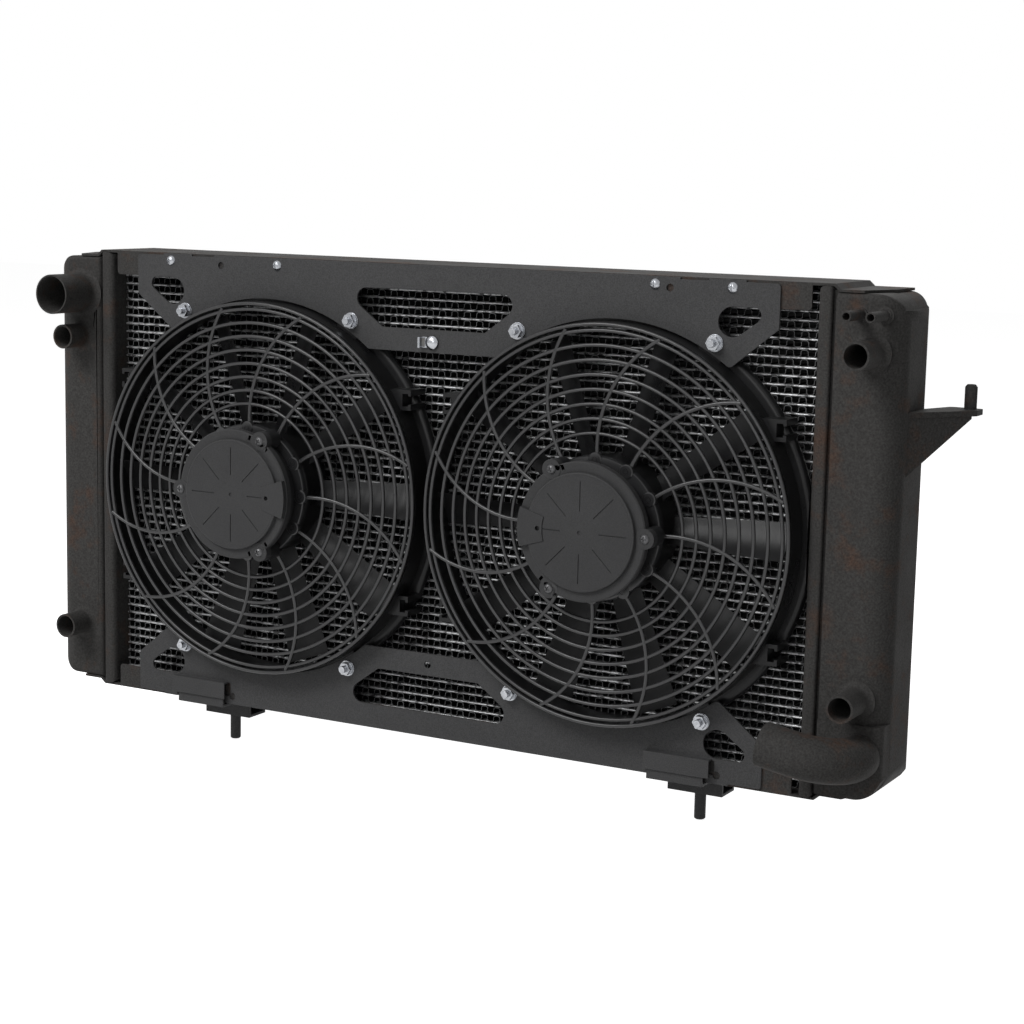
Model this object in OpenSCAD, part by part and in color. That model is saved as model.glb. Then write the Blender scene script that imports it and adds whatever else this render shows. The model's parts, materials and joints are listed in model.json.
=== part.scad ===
// Cross-flow vehicle radiator with two electric fans.
// X runs across the core, Y from the fan side to the back, Z up.
// The modules draw in a working frame whose origin is the middle of the core's height
// and width on the front face of the fan plates. placed() moves the work to the part's
// own origin, midway between the two lower pegs on the plane that the pegs stand out of.

/* [Core] */
// Width of the finned core between the header plates
core_w = 669.4; // [640:0.2:820]
// Depth of the flat tubes from front to back
core_d = 39; // [30:1:48]
// Number of flat tubes
tube_count = 54; // [50:2:64]
// Distance from one tube to the next
tube_pitch = 7.2; // [7:0.05:8.8]
// Height of one flat tube
tube_h = 1.8; // [1.5:0.1:2.2]
// Wall of a flat tube
tube_wall = 0.35; // [0.25:0.05:0.5]
// Distance of the tubes' front edge behind the fan plates' front face
core_setback = 20; // [19:0.5:26]
// Number of legs of one folded fin strip
fin_legs = 14; // [8:2:20]
// Thickness of the fin strip
fin_t = 1; // [0.6:0.1:1.5]

/* [Headers and tanks] */
// Thickness of the header plate
header_t = 2; // [1.5:0.1:3]
// Width of the header's rim along X, with its plate
rim_w = 11.8; // [10:0.1:16]
// Wall of the header's rim
rim_wall = 2.6; // [2:0.1:4]
// Height of the rubber cord between header and tank
gasket_t = 2; // [1.5:0.1:3]
// Depth of the header from front to back
header_d = 79; // [74:1:96]
// Width of a tank from its neck to its outer face
tank_w = 52.5; // [46:0.5:64]
// Width of the groove between the rim and the tank
groove_w = 3; // [2:0.5:5]
// Depth of a tank from front to back
tank_d = 77; // [72:1:94]
// Radius of the tank's outer corners
tank_corner = 21; // [10:1:28]
// Wall of a tank
tank_wall = 3; // [2:0.1:4]
// Drop of the tank's top below the core's top
tank_drop = 4.2; // [3:0.1:6]

/* [Rails] */
// Thickness of the rails above and below the core
rail_t = 2; // [1.5:0.1:3]
// Depth of the rails from front to back
rail_d = 75; // [70:1:92]
// Height of the rails' flanges
rail_flange = 20; // [18:1:26]
// Length by which the flanges stop short of the header plate
rail_short = 5; // [3:0.5:8]
// Length of the straps that lie on the tanks
strap_l = 32; // [20:1:36]

/* [Fan plates] */
// Thickness of the fan plates
plate_t = 2; // [1.5:0.1:3]
// Distance from a fan plate's side edge to the header plate
plate_side_gap = 29.7; // [20:0.5:34]
// Distance of the plates' inner edge from the fans' centre line
plate_inner = 127; // [124:0.5:132]
// Gap between a fan housing and the plates
plate_gap = 2; // [1:0.5:3]
// Diameter of the plates' pan-head screws
screw_d = 5; // [4:0.5:6]

/* [Fans] */
// Diameter over the fan blades
blade_d = 307; // [296:1:308]
// Gap between the blades' tips and the housing
tip_gap = 5.5; // [4:0.5:7]
// Wall of the fan housing
housing_wall = 3; // [2.5:0.1:4]
// Gap between the two housings' front rims
fan_gap = 8.8; // [6:0.2:20]
// Height of the housing's rim in front of the fan plates
rim_front = 19.5; // [16:0.5:24]
// Number of guard spokes
spoke_count = 12; // [8:1:14]
// Number of guard rings inside the rim
ring_count = 9; // [6:1:10]
// Width of a guard ring or spoke
guard_bar = 2.6; // [2:0.1:3.5]
// Number of fan blades
blade_count = 10; // [7:1:11]
// Chord of a fan blade
blade_chord = 35; // [30:1:40]
// Pitch of the fan blades
blade_pitch = 34; // [25:1:36]
// Diameter of the impeller's hub
hub_d = 112; // [108:1:116]
// Diameter of the fan bolts
bolt_d = 6; // [5:0.5:8]
// Distance of a fan bolt sideways from its fan's centre
bolt_x = 86.5; // [84:0.5:90]
// Distance of a fan bolt up or down from its fan's centre
bolt_z = 149.5; // [148:0.5:154]

/* [Fan motors] */
// Diameter of the motor cover's flange
cover_d = 111.2; // [108:0.2:116]
// Diameter of the raised disc on the motor cover
disc_d = 94; // [88:1:98]
// Diameter of the motor case behind the guard
case_d = 84; // [80:1:88]
// Wall of the motor case
case_wall = 2; // [1.5:0.1:2.5]
// Thickness of a magnet
magnet_t = 5; // [4:0.5:7]
// Gap between the armature and the magnets
air_gap = 1; // [0.6:0.1:1.5]
// Diameter of the motor shaft
shaft_d = 8; // [6:0.5:10]
// Running clearance of the shaft in its bearings, on the radius
shaft_clearance = 0.05; // [0.02:0.01:0.08]
// Diameter of the circle that the cover screws lie on
cover_screw_circle = 109.4; // [106:0.2:114]
// Diameter of a cover screw
cover_screw_d = 4; // [3:0.5:5]

/* [Pipes and ports] */
// Outside diameter of the two coolant hose stubs
hose_d = 35; // [30:0.5:38]
// Wall of the hose stubs
hose_wall = 1.6; // [1.2:0.1:2.5]
// Length of the inlet hose stub in front of the tank
inlet_l = 41; // [30:1:60]
// Height of the inlet above the middle of the core
inlet_z = 159.8; // [150:0.2:162]
// Distance of the left tank's pipes from its outer face
left_port_inset = 31; // [26:0.5:34]
// Distance of the right tank's ports from its outer face
right_port_inset = 23.5; // [20:0.5:28]
// Outside diameter of the oil cooler ports
port_d = 21.6; // [18:0.2:24]
// Wall of the oil cooler ports
port_wall = 1.7; // [1.2:0.1:2.5]
// Distance between the two ports of one oil cooler
port_spacing = 264.5; // [250:0.5:280]
// Diameter of the oil cooler inside each tank
cooler_d = 28; // [24:1:32]
// Outside diameter of the two vent nipples
nipple_d = 8; // [7:0.5:10]
// Length of the vent nipples in front of the tank
nipple_l = 32; // [24:1:40]
// Bend radius of the outlet elbow
elbow_r = 38; // [30:1:46]
// Upward tilt of the outlet elbow
elbow_tilt = 10; // [0:1:16]
// Straight length of the outlet hose stub
elbow_l = 24; // [18:1:40]

/* [Mounting] */
// Distance between the two lower pegs
peg_spacing = 466.5; // [440:0.5:500]
// Distance of the pegs behind the fan plates' front face
peg_setback = 48.5; // [46:0.5:52]
// Diameter of the lower pegs
peg_d = 9.5; // [8:0.1:12]
// Length of the lower pegs below their brackets
peg_l = 24.5; // [18:0.5:32]
// Width of a peg bracket
bracket_w = 48.5; // [42:0.5:60]
// Height of a peg bracket's box below its ledge
bracket_h = 18.5; // [14:0.5:24]
// Diameter of the side bracket's stud
stud_d = 9.6; // [8:0.1:12]
// Length of the stud above the side bracket
stud_l = 19; // [14:0.5:26]
// Reach of the side bracket beyond the tank
side_reach = 38; // [30:1:50]

/* [Hidden] */
$fn = 96;
fit = 0.05;      // clearance of brazed and bolted joints
cut = 1;         // how far a cut runs past the faces it opens
edge_r = 3;      // rounding of sheet-metal corners
round_steps = 6; // straight pieces along a rounded sheet-metal corner
steel = "#8d8d8d";
zinc = "#c9cbcd";
tank_black = "#3a3735";
plate_grey = "#454545";
fan_black = "#262626";
cover_grey = "#343434";
aluminium = "#b9bcbf";

// core and headers
core_x = core_w / 2;
core_y0 = core_setback;
core_mid = core_y0 + core_d / 2;
fin_h = tube_pitch - tube_h;
core_top = (tube_count * tube_pitch + fin_h) / 2;
header_x0 = core_x;
header_plate_x = header_x0 + header_t;
rim_x = header_x0 + rim_w;
header_y0 = core_mid - header_d / 2;
foot_x = header_plate_x + gasket_t;
foot_inset = rim_wall + 0.2;
foot_t = 5;
mouth_side = foot_inset + foot_t;
mouth_end = fin_h - 0.1;

// tanks
tank_x0 = rim_x + groove_w;
tank_x = tank_x0 + tank_w;
tank_y0 = core_mid - tank_d / 2;
tank_top = core_top - tank_drop;
neck_inset = foot_inset + 2.4;
pad_proud = 3;
pad_top = -134;
pad_corner = 8;

// rails
rail_y0 = plate_t;
rail_y1 = rail_y0 + rail_d;
rail_in = core_top + 0.1;
rail_out = rail_in + rail_t;
flange_x = core_x - rail_short;
strap_top = tank_top + 0.2 + rail_t;
strap_x0 = tank_x0 + 3;
strap_cut_x = 14;
strap_cut_y = 40;
joggle_x = rim_x + 1.5;

// fan plates
plate_x = core_x - plate_side_gap;
plate_top = rail_out - 0.5;
plate_step = 1.5;
screw_z = plate_top - 6.2;
screw_places = [-plate_x + 36, -156, 200.4, plate_x - 39.3];
spare_holes = [-plate_x + 90.2, plate_x - 91.7];
relief_edges = [[0, 28], [59, 83]];
side_edge_z = plate_top - 36;
window_top = plate_top - 20.5;
window_bottom = plate_inner + 19;
window_big_r = 11.8;
window_small_r = 6;
hook_x = peg_spacing / 2 + 1.25;
hook_w = 57;
hook_wall = 1.5;
hook_top = plate_top - 18.7;
hook_h = 13.2;
hook_proud = 7;
hook_slot_h = 11.5;
hook_slot_extra = 2;

// fan housings
blade_r = blade_d / 2;
housing_in = blade_r + tip_gap;
housing_out = housing_in + housing_wall;
fan_x = housing_out + fan_gap / 2;
housing_back = core_y0 - 3;
bead_reach = 9;
bead_l = 10;
bead_flat = fan_x - 0.6;
lug_r = 11;
lug_t = 6;
ring_step = 11.5;
first_ring = housing_out - 6.5;
guard_t = 4;
guard_slope = 0.075;
root_step = 1.5;
root_proud = 1.5;
seat_step = 0.5;
guard_hub_r = 58;
guard_hub_front = -29;
guard_hub_back = -24;
slot_lug_z = 87;
slot_lug_x = sqrt(pow(housing_out, 2) - pow(slot_lug_z, 2)) + 14.3;
slot_lug_h = 17;
slot_lug_wall = 3.2;
spoke_arc_r = 95;
spoke_sweep = 71;

// motors
cover_r = cover_d / 2;
disc_r = disc_d / 2;
case_r = case_d / 2;
screw_circle_r = cover_screw_circle / 2;
cover_front = -52;
flange_front = -49;
cover_back = -42;
case_back = -5;
case_shoulder_r = 50;
ear_r = 8;
magnet_r = case_r - case_wall;
armature_r = magnet_r - magnet_t - air_gap;
shaft_r = shaft_d / 2;
bearing_r = shaft_r + 4;
bearing_l = 9;
connector_in = 32.7;
connector_half_angle = 17;
hub_r = hub_d / 2;
hub_front = -19;
hub_back = 14;
hub_wall = 3;
blade_t = 2.2;

// pipes
left_port_x = -(tank_x - left_port_inset);
right_port_x = tank_x - right_port_inset;
hose_r = hose_d / 2;
port_r = port_d / 2;
left_cooler_z = -10.8;
right_cooler_z = 16.5;
nipple_gap = 18.7;
nipple_z = tank_top - 15.6;
elbow_x = tank_x - hose_r - 0.5;
elbow_z = -158;
elbow_stub = 5;

// mounting
ledge_t = 2;
seat_h = rail_out + 0.2 + ledge_t + bracket_h;
ledge_z = -rail_out - 0.2;
bracket_wall = 2.5;
bracket_d = 25;
tongue_y = -hook_proud + hook_wall + 0.3;
tongue_t = 2;
side_plate_z = 104.5;
side_plate_t = 4.4;
web_inset = 1;
gusset_h = 46;
stud_inset = 8;

// ---- helpers ----

module placed() translate([0, -peg_setback, seat_h]) children();

// A front-view outline, drawn in X and Z, from y0 back to y1
module extrude_y(y0, y1) translate([0, y1, 0]) rotate([90, 0, 0]) linear_extrude(y1 - y0) children();

// A side-view outline, drawn in Y and Z, from x0 to x1
module extrude_x(x0, x1) translate([x0, 0, 0]) rotate([90, 0, 90]) linear_extrude(x1 - x0) children();

// A half-section of radius and Y, turned about the Y axis
module turn_y() rotate([-90, 0, 0]) rotate_extrude() children();

module rod_y(r, y0, y1) translate([0, y0, 0]) rotate([-90, 0, 0]) cylinder(r = r, h = y1 - y0);

module tube_y(r_out, r_in, y0, y1) difference() {
    rod_y(r_out, y0, y1);
    rod_y(r_in, y0 - cut, y1 + cut);
}

// A bar with round ends, centred, width along X
module stadium(w, h) {
    square([w - h, h], center = true);
    for (s = [-1, 1]) translate([s * (w - h) / 2, 0]) circle(r = h / 2, $fn = 24);
}

// A rectangle from corner to corner
module area(x0, y0, x1, y1) translate([x0, y0]) square([x1 - x0, y1 - y0]);

// A rectangle whose two corners on the far X side are round
module far_rounded(x0, x1, y0, y1, r) {
    area(x0, y0, x1 - r, y1);
    area(x1 - r - 0.01, y0 + r, x1, y1 - r);
    for (y = [y0 + r, y1 - r]) translate([x1 - r, y]) circle(r = r);
}

function unit(v) = v / norm(v);
function arc(centre, r, a0, a1, n) = [for (i = [0:n]) let (a = a0 + (a1 - a0) * i / n) centre + r * [cos(a), sin(a)]];
function turn_between(a, b) = let (d = (b - a) % 360) d > 180 ? d - 360 : d < -180 ? d + 360 : d;
function corner_arc(before, p, after, r) =
    let (
        u = unit(before - p), v = unit(after - p), half = acos(u * v) / 2,
        centre = p + unit(u + v) * r / sin(half),
        start = p + u * r / tan(half) - centre, stop = p + v * r / tan(half) - centre,
        a0 = atan2(start.y, start.x)
    )
    arc(centre, r, a0, a0 + turn_between(a0, atan2(stop.y, stop.x)), round_steps);

// An outline from corners [x, y, radius], each rounded by its own radius
function rounded(corners) = [
    for (i = [0:len(corners) - 1]) let (
        n = len(corners), c = corners[i], b = corners[(i + n - 1) % n], a = corners[(i + 1) % n]
    )
    each c[2] == 0 ? [[c.x, c.y]] : corner_arc([b.x, b.y], [c.x, c.y], [a.x, a.y], c[2])
];

module on_left() mirror([1, 0, 0]) children();

// ---- core ----

function tube_z(k) = (k - (tube_count - 1) / 2) * tube_pitch;

module core_tubes() color(aluminium) placed()
    for (k = [0:tube_count - 1]) translate([0, core_mid, tube_z(k)])
        extrude_x(-header_plate_x - 1, header_plate_x + 1) difference() {
            stadium(core_d, tube_h);
            stadium(core_d - 2 * tube_wall, tube_h - 2 * tube_wall);
        }

// One folded strip: its legs lean between flat crests that lie on the tubes
function fin_path(lift) = let (leg = (core_w - 2) / fin_legs, crest = leg / 5) [
    for (i = [0:fin_legs - 1]) let (
        x = -core_x + 1 + i * leg, up = i % 2 == 0,
        z0 = (up ? 0 : fin_h - fin_t) + lift, z1 = (up ? fin_h - fin_t : 0) + lift
    )
    each [[i == 0 ? x : x + crest, z0], [i == fin_legs - 1 ? x + leg : x + leg - crest, z1]]
];

module fin_strip() {
    lower = fin_path(0);
    upper = fin_path(fin_t);
    last = len(lower) - 1;
    polygon(concat(lower, [for (i = [0:last]) upper[last - i]]));
}

module core_fins() color(aluminium) placed()
    for (k = [0:tube_count]) translate([0, 0, tube_z(k) - tube_pitch + tube_h / 2])
        extrude_y(core_y0 + 0.5, core_y0 + core_d - 0.5) fin_strip();

// ---- headers, gaskets and tanks ----

module header_outline(side, end) area(header_y0 + side, -core_top + end, header_y0 + header_d - side, core_top - end);

module header() {
    extrude_x(header_x0, header_plate_x) difference() {
        header_outline(0, 0);
        for (k = [0:tube_count - 1]) translate([core_mid, tube_z(k)])
            stadium(core_d + 2 * fit, tube_h + 2 * fit);
    }
    extrude_x(header_plate_x, rim_x) difference() {
        header_outline(0, 0);
        header_outline(rim_wall, rim_wall);
    }
}

module header_right() color(tank_black) placed() header();
module header_left() color(tank_black) placed() on_left() header();

module gasket() extrude_x(header_plate_x, foot_x) difference() {
    header_outline(foot_inset, foot_inset);
    header_outline(mouth_side, mouth_end);
}

module gasket_right() color("#1b1b1b") placed() gasket();
module gasket_left() color("#1b1b1b") placed() on_left() gasket();

// The tank's body, shrunk by inset on every side and drawn from x0 outwards
module tank_solid(x0, inset) intersection() {
    translate([0, 0, -tank_top]) linear_extrude(2 * tank_top)
        far_rounded(x0, tank_x - inset, tank_y0 + inset, tank_y0 + tank_d - inset, tank_corner - inset);
    extrude_y(tank_y0 - cut, tank_y0 + tank_d + cut)
        far_rounded(x0, tank_x - inset, -tank_top + inset, tank_top - inset, tank_corner - inset);
}

module tank_outside() {
    extrude_x(foot_x, foot_x + foot_t) header_outline(foot_inset, foot_inset);
    extrude_x(foot_x + foot_t, tank_x0) header_outline(neck_inset, foot_inset);
    tank_solid(tank_x0, 0);
}

module tank_cavity() {
    extrude_x(foot_x - cut, tank_x0) header_outline(mouth_side, mouth_end);
    extrude_x(tank_x0 - 0.01, tank_x0 + tank_wall) header_outline(mouth_side, tank_drop + tank_wall);
    tank_solid(tank_x0 + tank_wall - 0.01, tank_wall);
}

// Where the ports of an oil cooler pass the tank's front wall
module port_holes(x, z) for (s = [-1, 1]) translate([x, 0, z + s * port_spacing / 2])
    rod_y(port_r + root_step + fit, tank_y0 - cut, tank_y0 + tank_corner);

module tank_left() color(tank_black) placed() difference() {
    on_left() tank_outside();
    on_left() tank_cavity();
    port_holes(left_port_x, left_cooler_z);
    translate([left_port_x, 0, inlet_z]) rod_y(hose_r + root_step + fit, tank_y0 - cut, tank_y0 + tank_corner);
}

// The squared-off lower front corner that the outlet elbow stands on
module outlet_pad() intersection() {
    translate([0, 0, -tank_top]) linear_extrude(pad_top + tank_top)
        far_rounded(tank_x0 + 0.5, tank_x - 0.3, tank_y0 - pad_proud, tank_y0 + 2 * tank_corner, pad_corner);
    extrude_y(tank_y0 - pad_proud - cut, tank_y0 + tank_corner - 2)
        far_rounded(tank_x0, tank_x - 0.3, -tank_top + 0.6, tank_top, tank_corner);
}

module tank_right() color(tank_black) placed() difference() {
    union() {
        tank_outside();
        outlet_pad();
    }
    tank_cavity();
    port_holes(right_port_x, right_cooler_z);
    for (s = [-1, 1]) translate([right_port_x + s * nipple_gap / 2, 0, nipple_z])
        rod_y(nipple_d / 2 + root_step + fit, tank_y0 - cut, tank_y0 + tank_corner);
    translate([elbow_x, 0, elbow_z]) rod_y(hose_r - hose_wall, tank_y0 - pad_proud - cut, tank_y0 + tank_corner);
}

// ---- rails ----

module rail_web() extrude_y(rail_y0, rail_y1) polygon([
    [-strap_x0 - strap_l, strap_top], [-strap_x0, strap_top], [-joggle_x, rail_out], [joggle_x, rail_out],
    [strap_x0, strap_top], [strap_x0 + strap_l, strap_top], [strap_x0 + strap_l, strap_top - rail_t],
    [strap_x0 - rail_t / 2, strap_top - rail_t], [joggle_x - rail_t / 2, rail_in],
    [-joggle_x + rail_t / 2, rail_in], [-strap_x0 + rail_t / 2, strap_top - rail_t],
    [-strap_x0 - strap_l, strap_top - rail_t],
]);

// The straps' front corners are cut off at a slant
module rail() {
    difference() {
        rail_web();
        for (s = [0, 1]) mirror([s, 0, 0]) translate([strap_x0 + strap_l, rail_y0, strap_top - 2 * rail_t])
            linear_extrude(3 * rail_t) polygon([[-strap_cut_x, -cut], [cut, -cut], [cut, strap_cut_y]]);
    }
    for (y = [rail_y0, rail_y1 - rail_t]) extrude_y(y, y + rail_t) polygon(rounded([
        [-flange_x, rail_out, 0], [flange_x, rail_out, 0],
        [flange_x, rail_out - rail_flange - 1, edge_r], [-flange_x, rail_out - rail_flange - 1, edge_r],
    ]));
}

module screw_holes(r) for (x = screw_places) translate([x, 0, screw_z]) rod_y(r, -cut, rail_y0 + rail_t + cut);

module top_rail() color(tank_black) placed() difference() {
    rail();
    screw_holes(screw_d / 2 + fit);
}

module bottom_rail() color(tank_black) placed() mirror([0, 0, 1]) rail();

// ---- pipes and oil coolers ----

module pipe(r, wall, front, back) tube_y(r, r - wall, front, back);

// A pipe that stands out of a tank's front, with a thicker root through the wall
module stub(r, wall, l) difference() {
    union() {
        rod_y(r, tank_y0 - l, tank_y0);
        rod_y(r + root_step, tank_y0 - root_proud, tank_y0 + tank_wall + 2);
    }
    rod_y(r - wall, tank_y0 - l - cut, tank_y0 + tank_wall + 2 + cut);
}

module inlet_pipe() color(tank_black) placed() translate([left_port_x, 0, inlet_z]) stub(hose_r, hose_wall, inlet_l);

module vent_nipples() color(tank_black) placed()
    for (s = [-1, 1]) translate([right_port_x + s * nipple_gap / 2, 0, nipple_z])
        stub(nipple_d / 2, 1.3, nipple_l);

module outlet_elbow() color(tank_black) placed()
    translate([elbow_x, tank_y0 - pad_proud, elbow_z]) rotate([0, elbow_tilt, 0]) {
        pipe(hose_r, hose_wall, -elbow_stub, 0);
        translate([-elbow_r, -elbow_stub, 0]) rotate([0, 0, -90]) rotate_extrude(angle = 90)
            translate([elbow_r, 0]) difference() {
                circle(r = hose_r);
                circle(r = hose_r - hose_wall);
            }
        translate([-elbow_r, -elbow_stub - elbow_r, 0]) rotate([0, -90, 0]) difference() {
            cylinder(r = hose_r, h = elbow_l);
            translate([0, 0, -cut]) cylinder(r = hose_r - hose_wall, h = elbow_l + 2 * cut);
        }
    }

// A closed upright cylinder inside the tank with two ports that pass the tank's front wall
module oil_cooler(x, z, port_l) translate([x, 0, z]) difference() {
    union() {
        translate([0, core_mid, -port_spacing / 2 - cooler_d / 2]) cylinder(r = cooler_d / 2, h = port_spacing + cooler_d);
        for (s = [-1, 1]) translate([0, 0, s * port_spacing / 2]) {
            rod_y(port_r, tank_y0 - port_l, tank_y0);
            rod_y(port_r + root_step, tank_y0 - root_proud, core_mid);
        }
    }
    translate([0, core_mid, -port_spacing / 2 - cooler_d / 2 + port_wall])
        cylinder(r = cooler_d / 2 - port_wall, h = port_spacing + cooler_d - 2 * port_wall);
    for (s = [-1, 1]) translate([0, 0, s * port_spacing / 2]) rod_y(port_r - port_wall, tank_y0 - port_l - cut, core_mid);
}

module oil_cooler_left() color(tank_black) placed() oil_cooler(left_port_x, left_cooler_z, 26);
module oil_cooler_right() color(tank_black) placed() oil_cooler(right_port_x, right_cooler_z, 34);

// ---- mounting ----

// A plate on the tank's side with a web folded down along its slanted front edge
module side_bracket() color(tank_black) placed() {
    tip = tank_x + side_reach;
    back = tank_y0 + tank_d + 10;
    root = [tank_x, tank_y0 + tank_corner];
    nose = [tip, back - 16];
    difference() {
        translate([0, 0, side_plate_z - side_plate_t]) linear_extrude(side_plate_t) polygon(rounded([
            [root.x, root.y, 0], [nose.x, nose.y, 2], [tip, back, 2],
            [tank_x + 12, back, 4], [tank_x, tank_y0 + tank_d - tank_corner, 0],
        ]));
        side_stud_place() cylinder(r = stud_d / 2 + seat_step + fit, h = 3 * side_plate_t, center = true);
    }
    intersection() {
        translate([root.x, root.y, side_plate_z - side_plate_t])
            rotate([0, 0, atan2(nose.y - root.y, nose.x - root.x)])
            translate([0, web_inset + side_plate_t, 0]) rotate([90, 0, 0]) linear_extrude(side_plate_t)
            polygon([[-9, 0], [norm(nose - root) - 4, 0], [norm(nose - root) - 4, -2], [0, -gusset_h], [-9, -gusset_h]]);
        translate([tank_x, tank_y0, side_plate_z - side_plate_t - 2 * gusset_h])
            cube([2 * side_reach, 2 * tank_d, 2 * gusset_h + side_plate_t]);
    }
}

module side_stud_place() translate([tank_x + side_reach - stud_inset, tank_y0 + tank_d + 2, side_plate_z]) children();

module side_stud() color(steel) placed() side_stud_place() {
    r = stud_d / 2;
    translate([0, 0, -side_plate_t]) cylinder(r = r + seat_step, h = side_plate_t);
    translate([0, 0, -1]) cylinder(r = r, h = stud_l - 1);
    translate([0, 0, stud_l - 2]) cylinder(r1 = r, r2 = r - 1.6, h = 2);
}

// A folded box, open at both ends, on a ledge under the lower rail, whose tongue stands behind the fan plate's hook
module peg_bracket() difference() {
    x0 = peg_spacing / 2 - bracket_w / 2;
    x1 = peg_spacing / 2 + bracket_w / 2;
    y0 = peg_setback - bracket_d / 2;
    y1 = peg_setback + bracket_d / 2;
    union() {
        extrude_x(hook_x - hook_w / 2 + 2.5, hook_x + hook_w / 2 - 5.5) {
            area(tongue_y, ledge_z - ledge_t, y1, ledge_z);
            area(tongue_y, ledge_z - ledge_t, tongue_y + tongue_t, -hook_top - 3);
        }
        translate([x0, y0, -seat_h]) cube([x1 - x0, bracket_d, bracket_h + 0.01]);
    }
    translate([x0 - cut, y0 + bracket_wall, -seat_h + bracket_wall])
        cube([x1 - x0 + 2 * cut, bracket_d - 2 * bracket_wall, bracket_h - bracket_wall]);
    translate([peg_spacing / 2, peg_setback, -seat_h - cut]) cylinder(r = peg_d / 2 + seat_step + fit, h = bracket_wall + 2 * cut);
}

module peg_bracket_right() color(plate_grey) placed() peg_bracket();
module peg_bracket_left() color(plate_grey) placed() on_left() peg_bracket();

module lower_peg() translate([peg_spacing / 2, peg_setback, -seat_h]) {
    r = peg_d / 2;
    translate([0, 0, 1 - peg_l]) cylinder(r = r, h = peg_l);
    cylinder(r = r + seat_step, h = bracket_wall + 3);
    translate([0, 0, -peg_l]) cylinder(r1 = r - 1, r2 = r, h = 1);
    translate([0, 0, bracket_wall]) cylinder(r = r + 3, h = 4);
}

module lower_peg_right() color(steel) placed() lower_peg();
module lower_peg_left() color(steel) placed() on_left() lower_peg();

// ---- fan plates ----

// The right half of a plate's outline, from the middle of its top round to its inner edge
function plate_half() =
    let (
        r = housing_out + plate_gap, vertex_angle = 52.8, inner_angle = 180 - asin(plate_inner / r),
        vertex = [fan_x, 0] + r * [cos(vertex_angle), sin(vertex_angle)],
        reliefs = [for (e = [relief_edges[1], relief_edges[0]]) each [
            [plate_x - e[1], plate_top, 0], [plate_x - e[1], plate_top - plate_step, 0],
            [plate_x - e[0], plate_top - plate_step, e[0] == 0 ? edge_r : 0],
            if (e[0] > 0) [plate_x - e[0], plate_top, 0],
        ]]
    )
    concat(
        reliefs, [[plate_x, side_edge_z, edge_r], [vertex.x, vertex.y, 4]],
        [for (p = arc([fan_x, 0], r, vertex_angle + 3, inner_angle, 20)) [p.x, p.y, 0]]
    );

function mirrored(corners) = [for (i = [len(corners) - 1:-1:0]) [-corners[i].x, corners[i].y, corners[i][2]]];

module middle_window() polygon(rounded([
    [-93, window_top, 9], [93, window_top, 9], [49, window_bottom, 4], [-49, window_bottom, 4],
]));

// The outline of two circles and the straight sides that touch both
function two_circles(c1, r1, c2, r2) = let (
    along = c2 - c1, a = atan2(along.y, along.x), d = acos((r1 - r2) / norm(along))
) concat(arc(c1, r1, a + d, a + 360 - d, 16), arc(c2, r2, a - d, a + d, 10));

module corner_window() polygon(two_circles(
    [plate_x - 38.5, window_top - window_big_r], window_big_r, [plate_x - 20.8, window_top - window_small_r], window_small_r
));

// Drawn for the upper plate; the lower one is its mirror image with hooks in place of screws
module plate_outline() difference() {
    polygon(rounded(concat(plate_half(), mirrored(plate_half()))));
    middle_window();
    for (s = [0, 1]) mirror([s, 0]) {
        corner_window();
        for (x = [-bolt_x, bolt_x]) translate([fan_x + x, bolt_z]) circle(r = bolt_d / 2 + fit);
    }
}

module upper_fan_plate() color(plate_grey) placed() difference() {
    extrude_y(0, plate_t) plate_outline();
    screw_holes(screw_d / 2 + fit);
    for (x = spare_holes) translate([x, 0, screw_z - 2.2]) rod_y(screw_d / 2 + 0.6, -cut, plate_t + cut);
    translate([0, 0, clip_z()]) rod_y(clip_rivet_r() + fit, -cut, plate_t + cut);
}

module lower_fan_plate() color(plate_grey) placed() mirror([0, 0, 1]) {
    difference() {
        extrude_y(0, plate_t) difference() {
            plate_outline();
            for (s = [-1, 1]) translate([s * hook_x - hook_w / 2, hook_top]) {
                square([hook_w + hook_slot_extra, hook_slot_h]);
                square([hook_w - 5, 30]);
                translate([hook_w + 4, hook_slot_h]) circle(r = 3.2);
            }
        }
        translate([0, 0, plate_inner + 9.5]) rod_y(screw_d / 2 + 0.6, -cut, plate_t + cut);
    }
    for (s = [-1, 1]) extrude_x(s * hook_x - hook_w / 2, s * hook_x + hook_w / 2) {
        area(-hook_proud, hook_top - hook_wall, plate_t, hook_top);
        area(-hook_proud, hook_top - hook_wall, hook_wall - hook_proud, hook_top + hook_h);
    }
}

// Pan-head screw whose head lies on the plane y = 0
module pan_screw(d, length, head_r, head_h) {
    difference() {
        turn_y() {
            area(0, 0, d / 2, length);
            intersection() {
                translate([0, head_r * head_r / (2 * head_h) - head_h / 2]) circle(r = (head_r * head_r + head_h * head_h) / (2 * head_h));
                area(0, -head_h, head_r, 0);
            }
        }
        for (a = [0, 90]) rotate([0, a, 0]) translate([-head_r * 0.55, -head_h - cut, -0.5]) cube([head_r * 1.1, cut + head_h * 0.6, 1]);
    }
}

module plate_screws() color(zinc) placed() for (x = screw_places) translate([x, 0, screw_z]) pan_screw(screw_d, 9, 4.6, 3);

module plate_nuts() color(zinc) placed() for (x = screw_places) translate([x, 0, screw_z]) difference() {
    rod_y(4.5, rail_y0 + rail_t, rail_y0 + rail_t + 4);
    rod_y(screw_d / 2 + fit, 0, 20);
}

function clip_z() = plate_inner + 8.5;
function clip_rivet_r() = 2.5;

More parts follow.
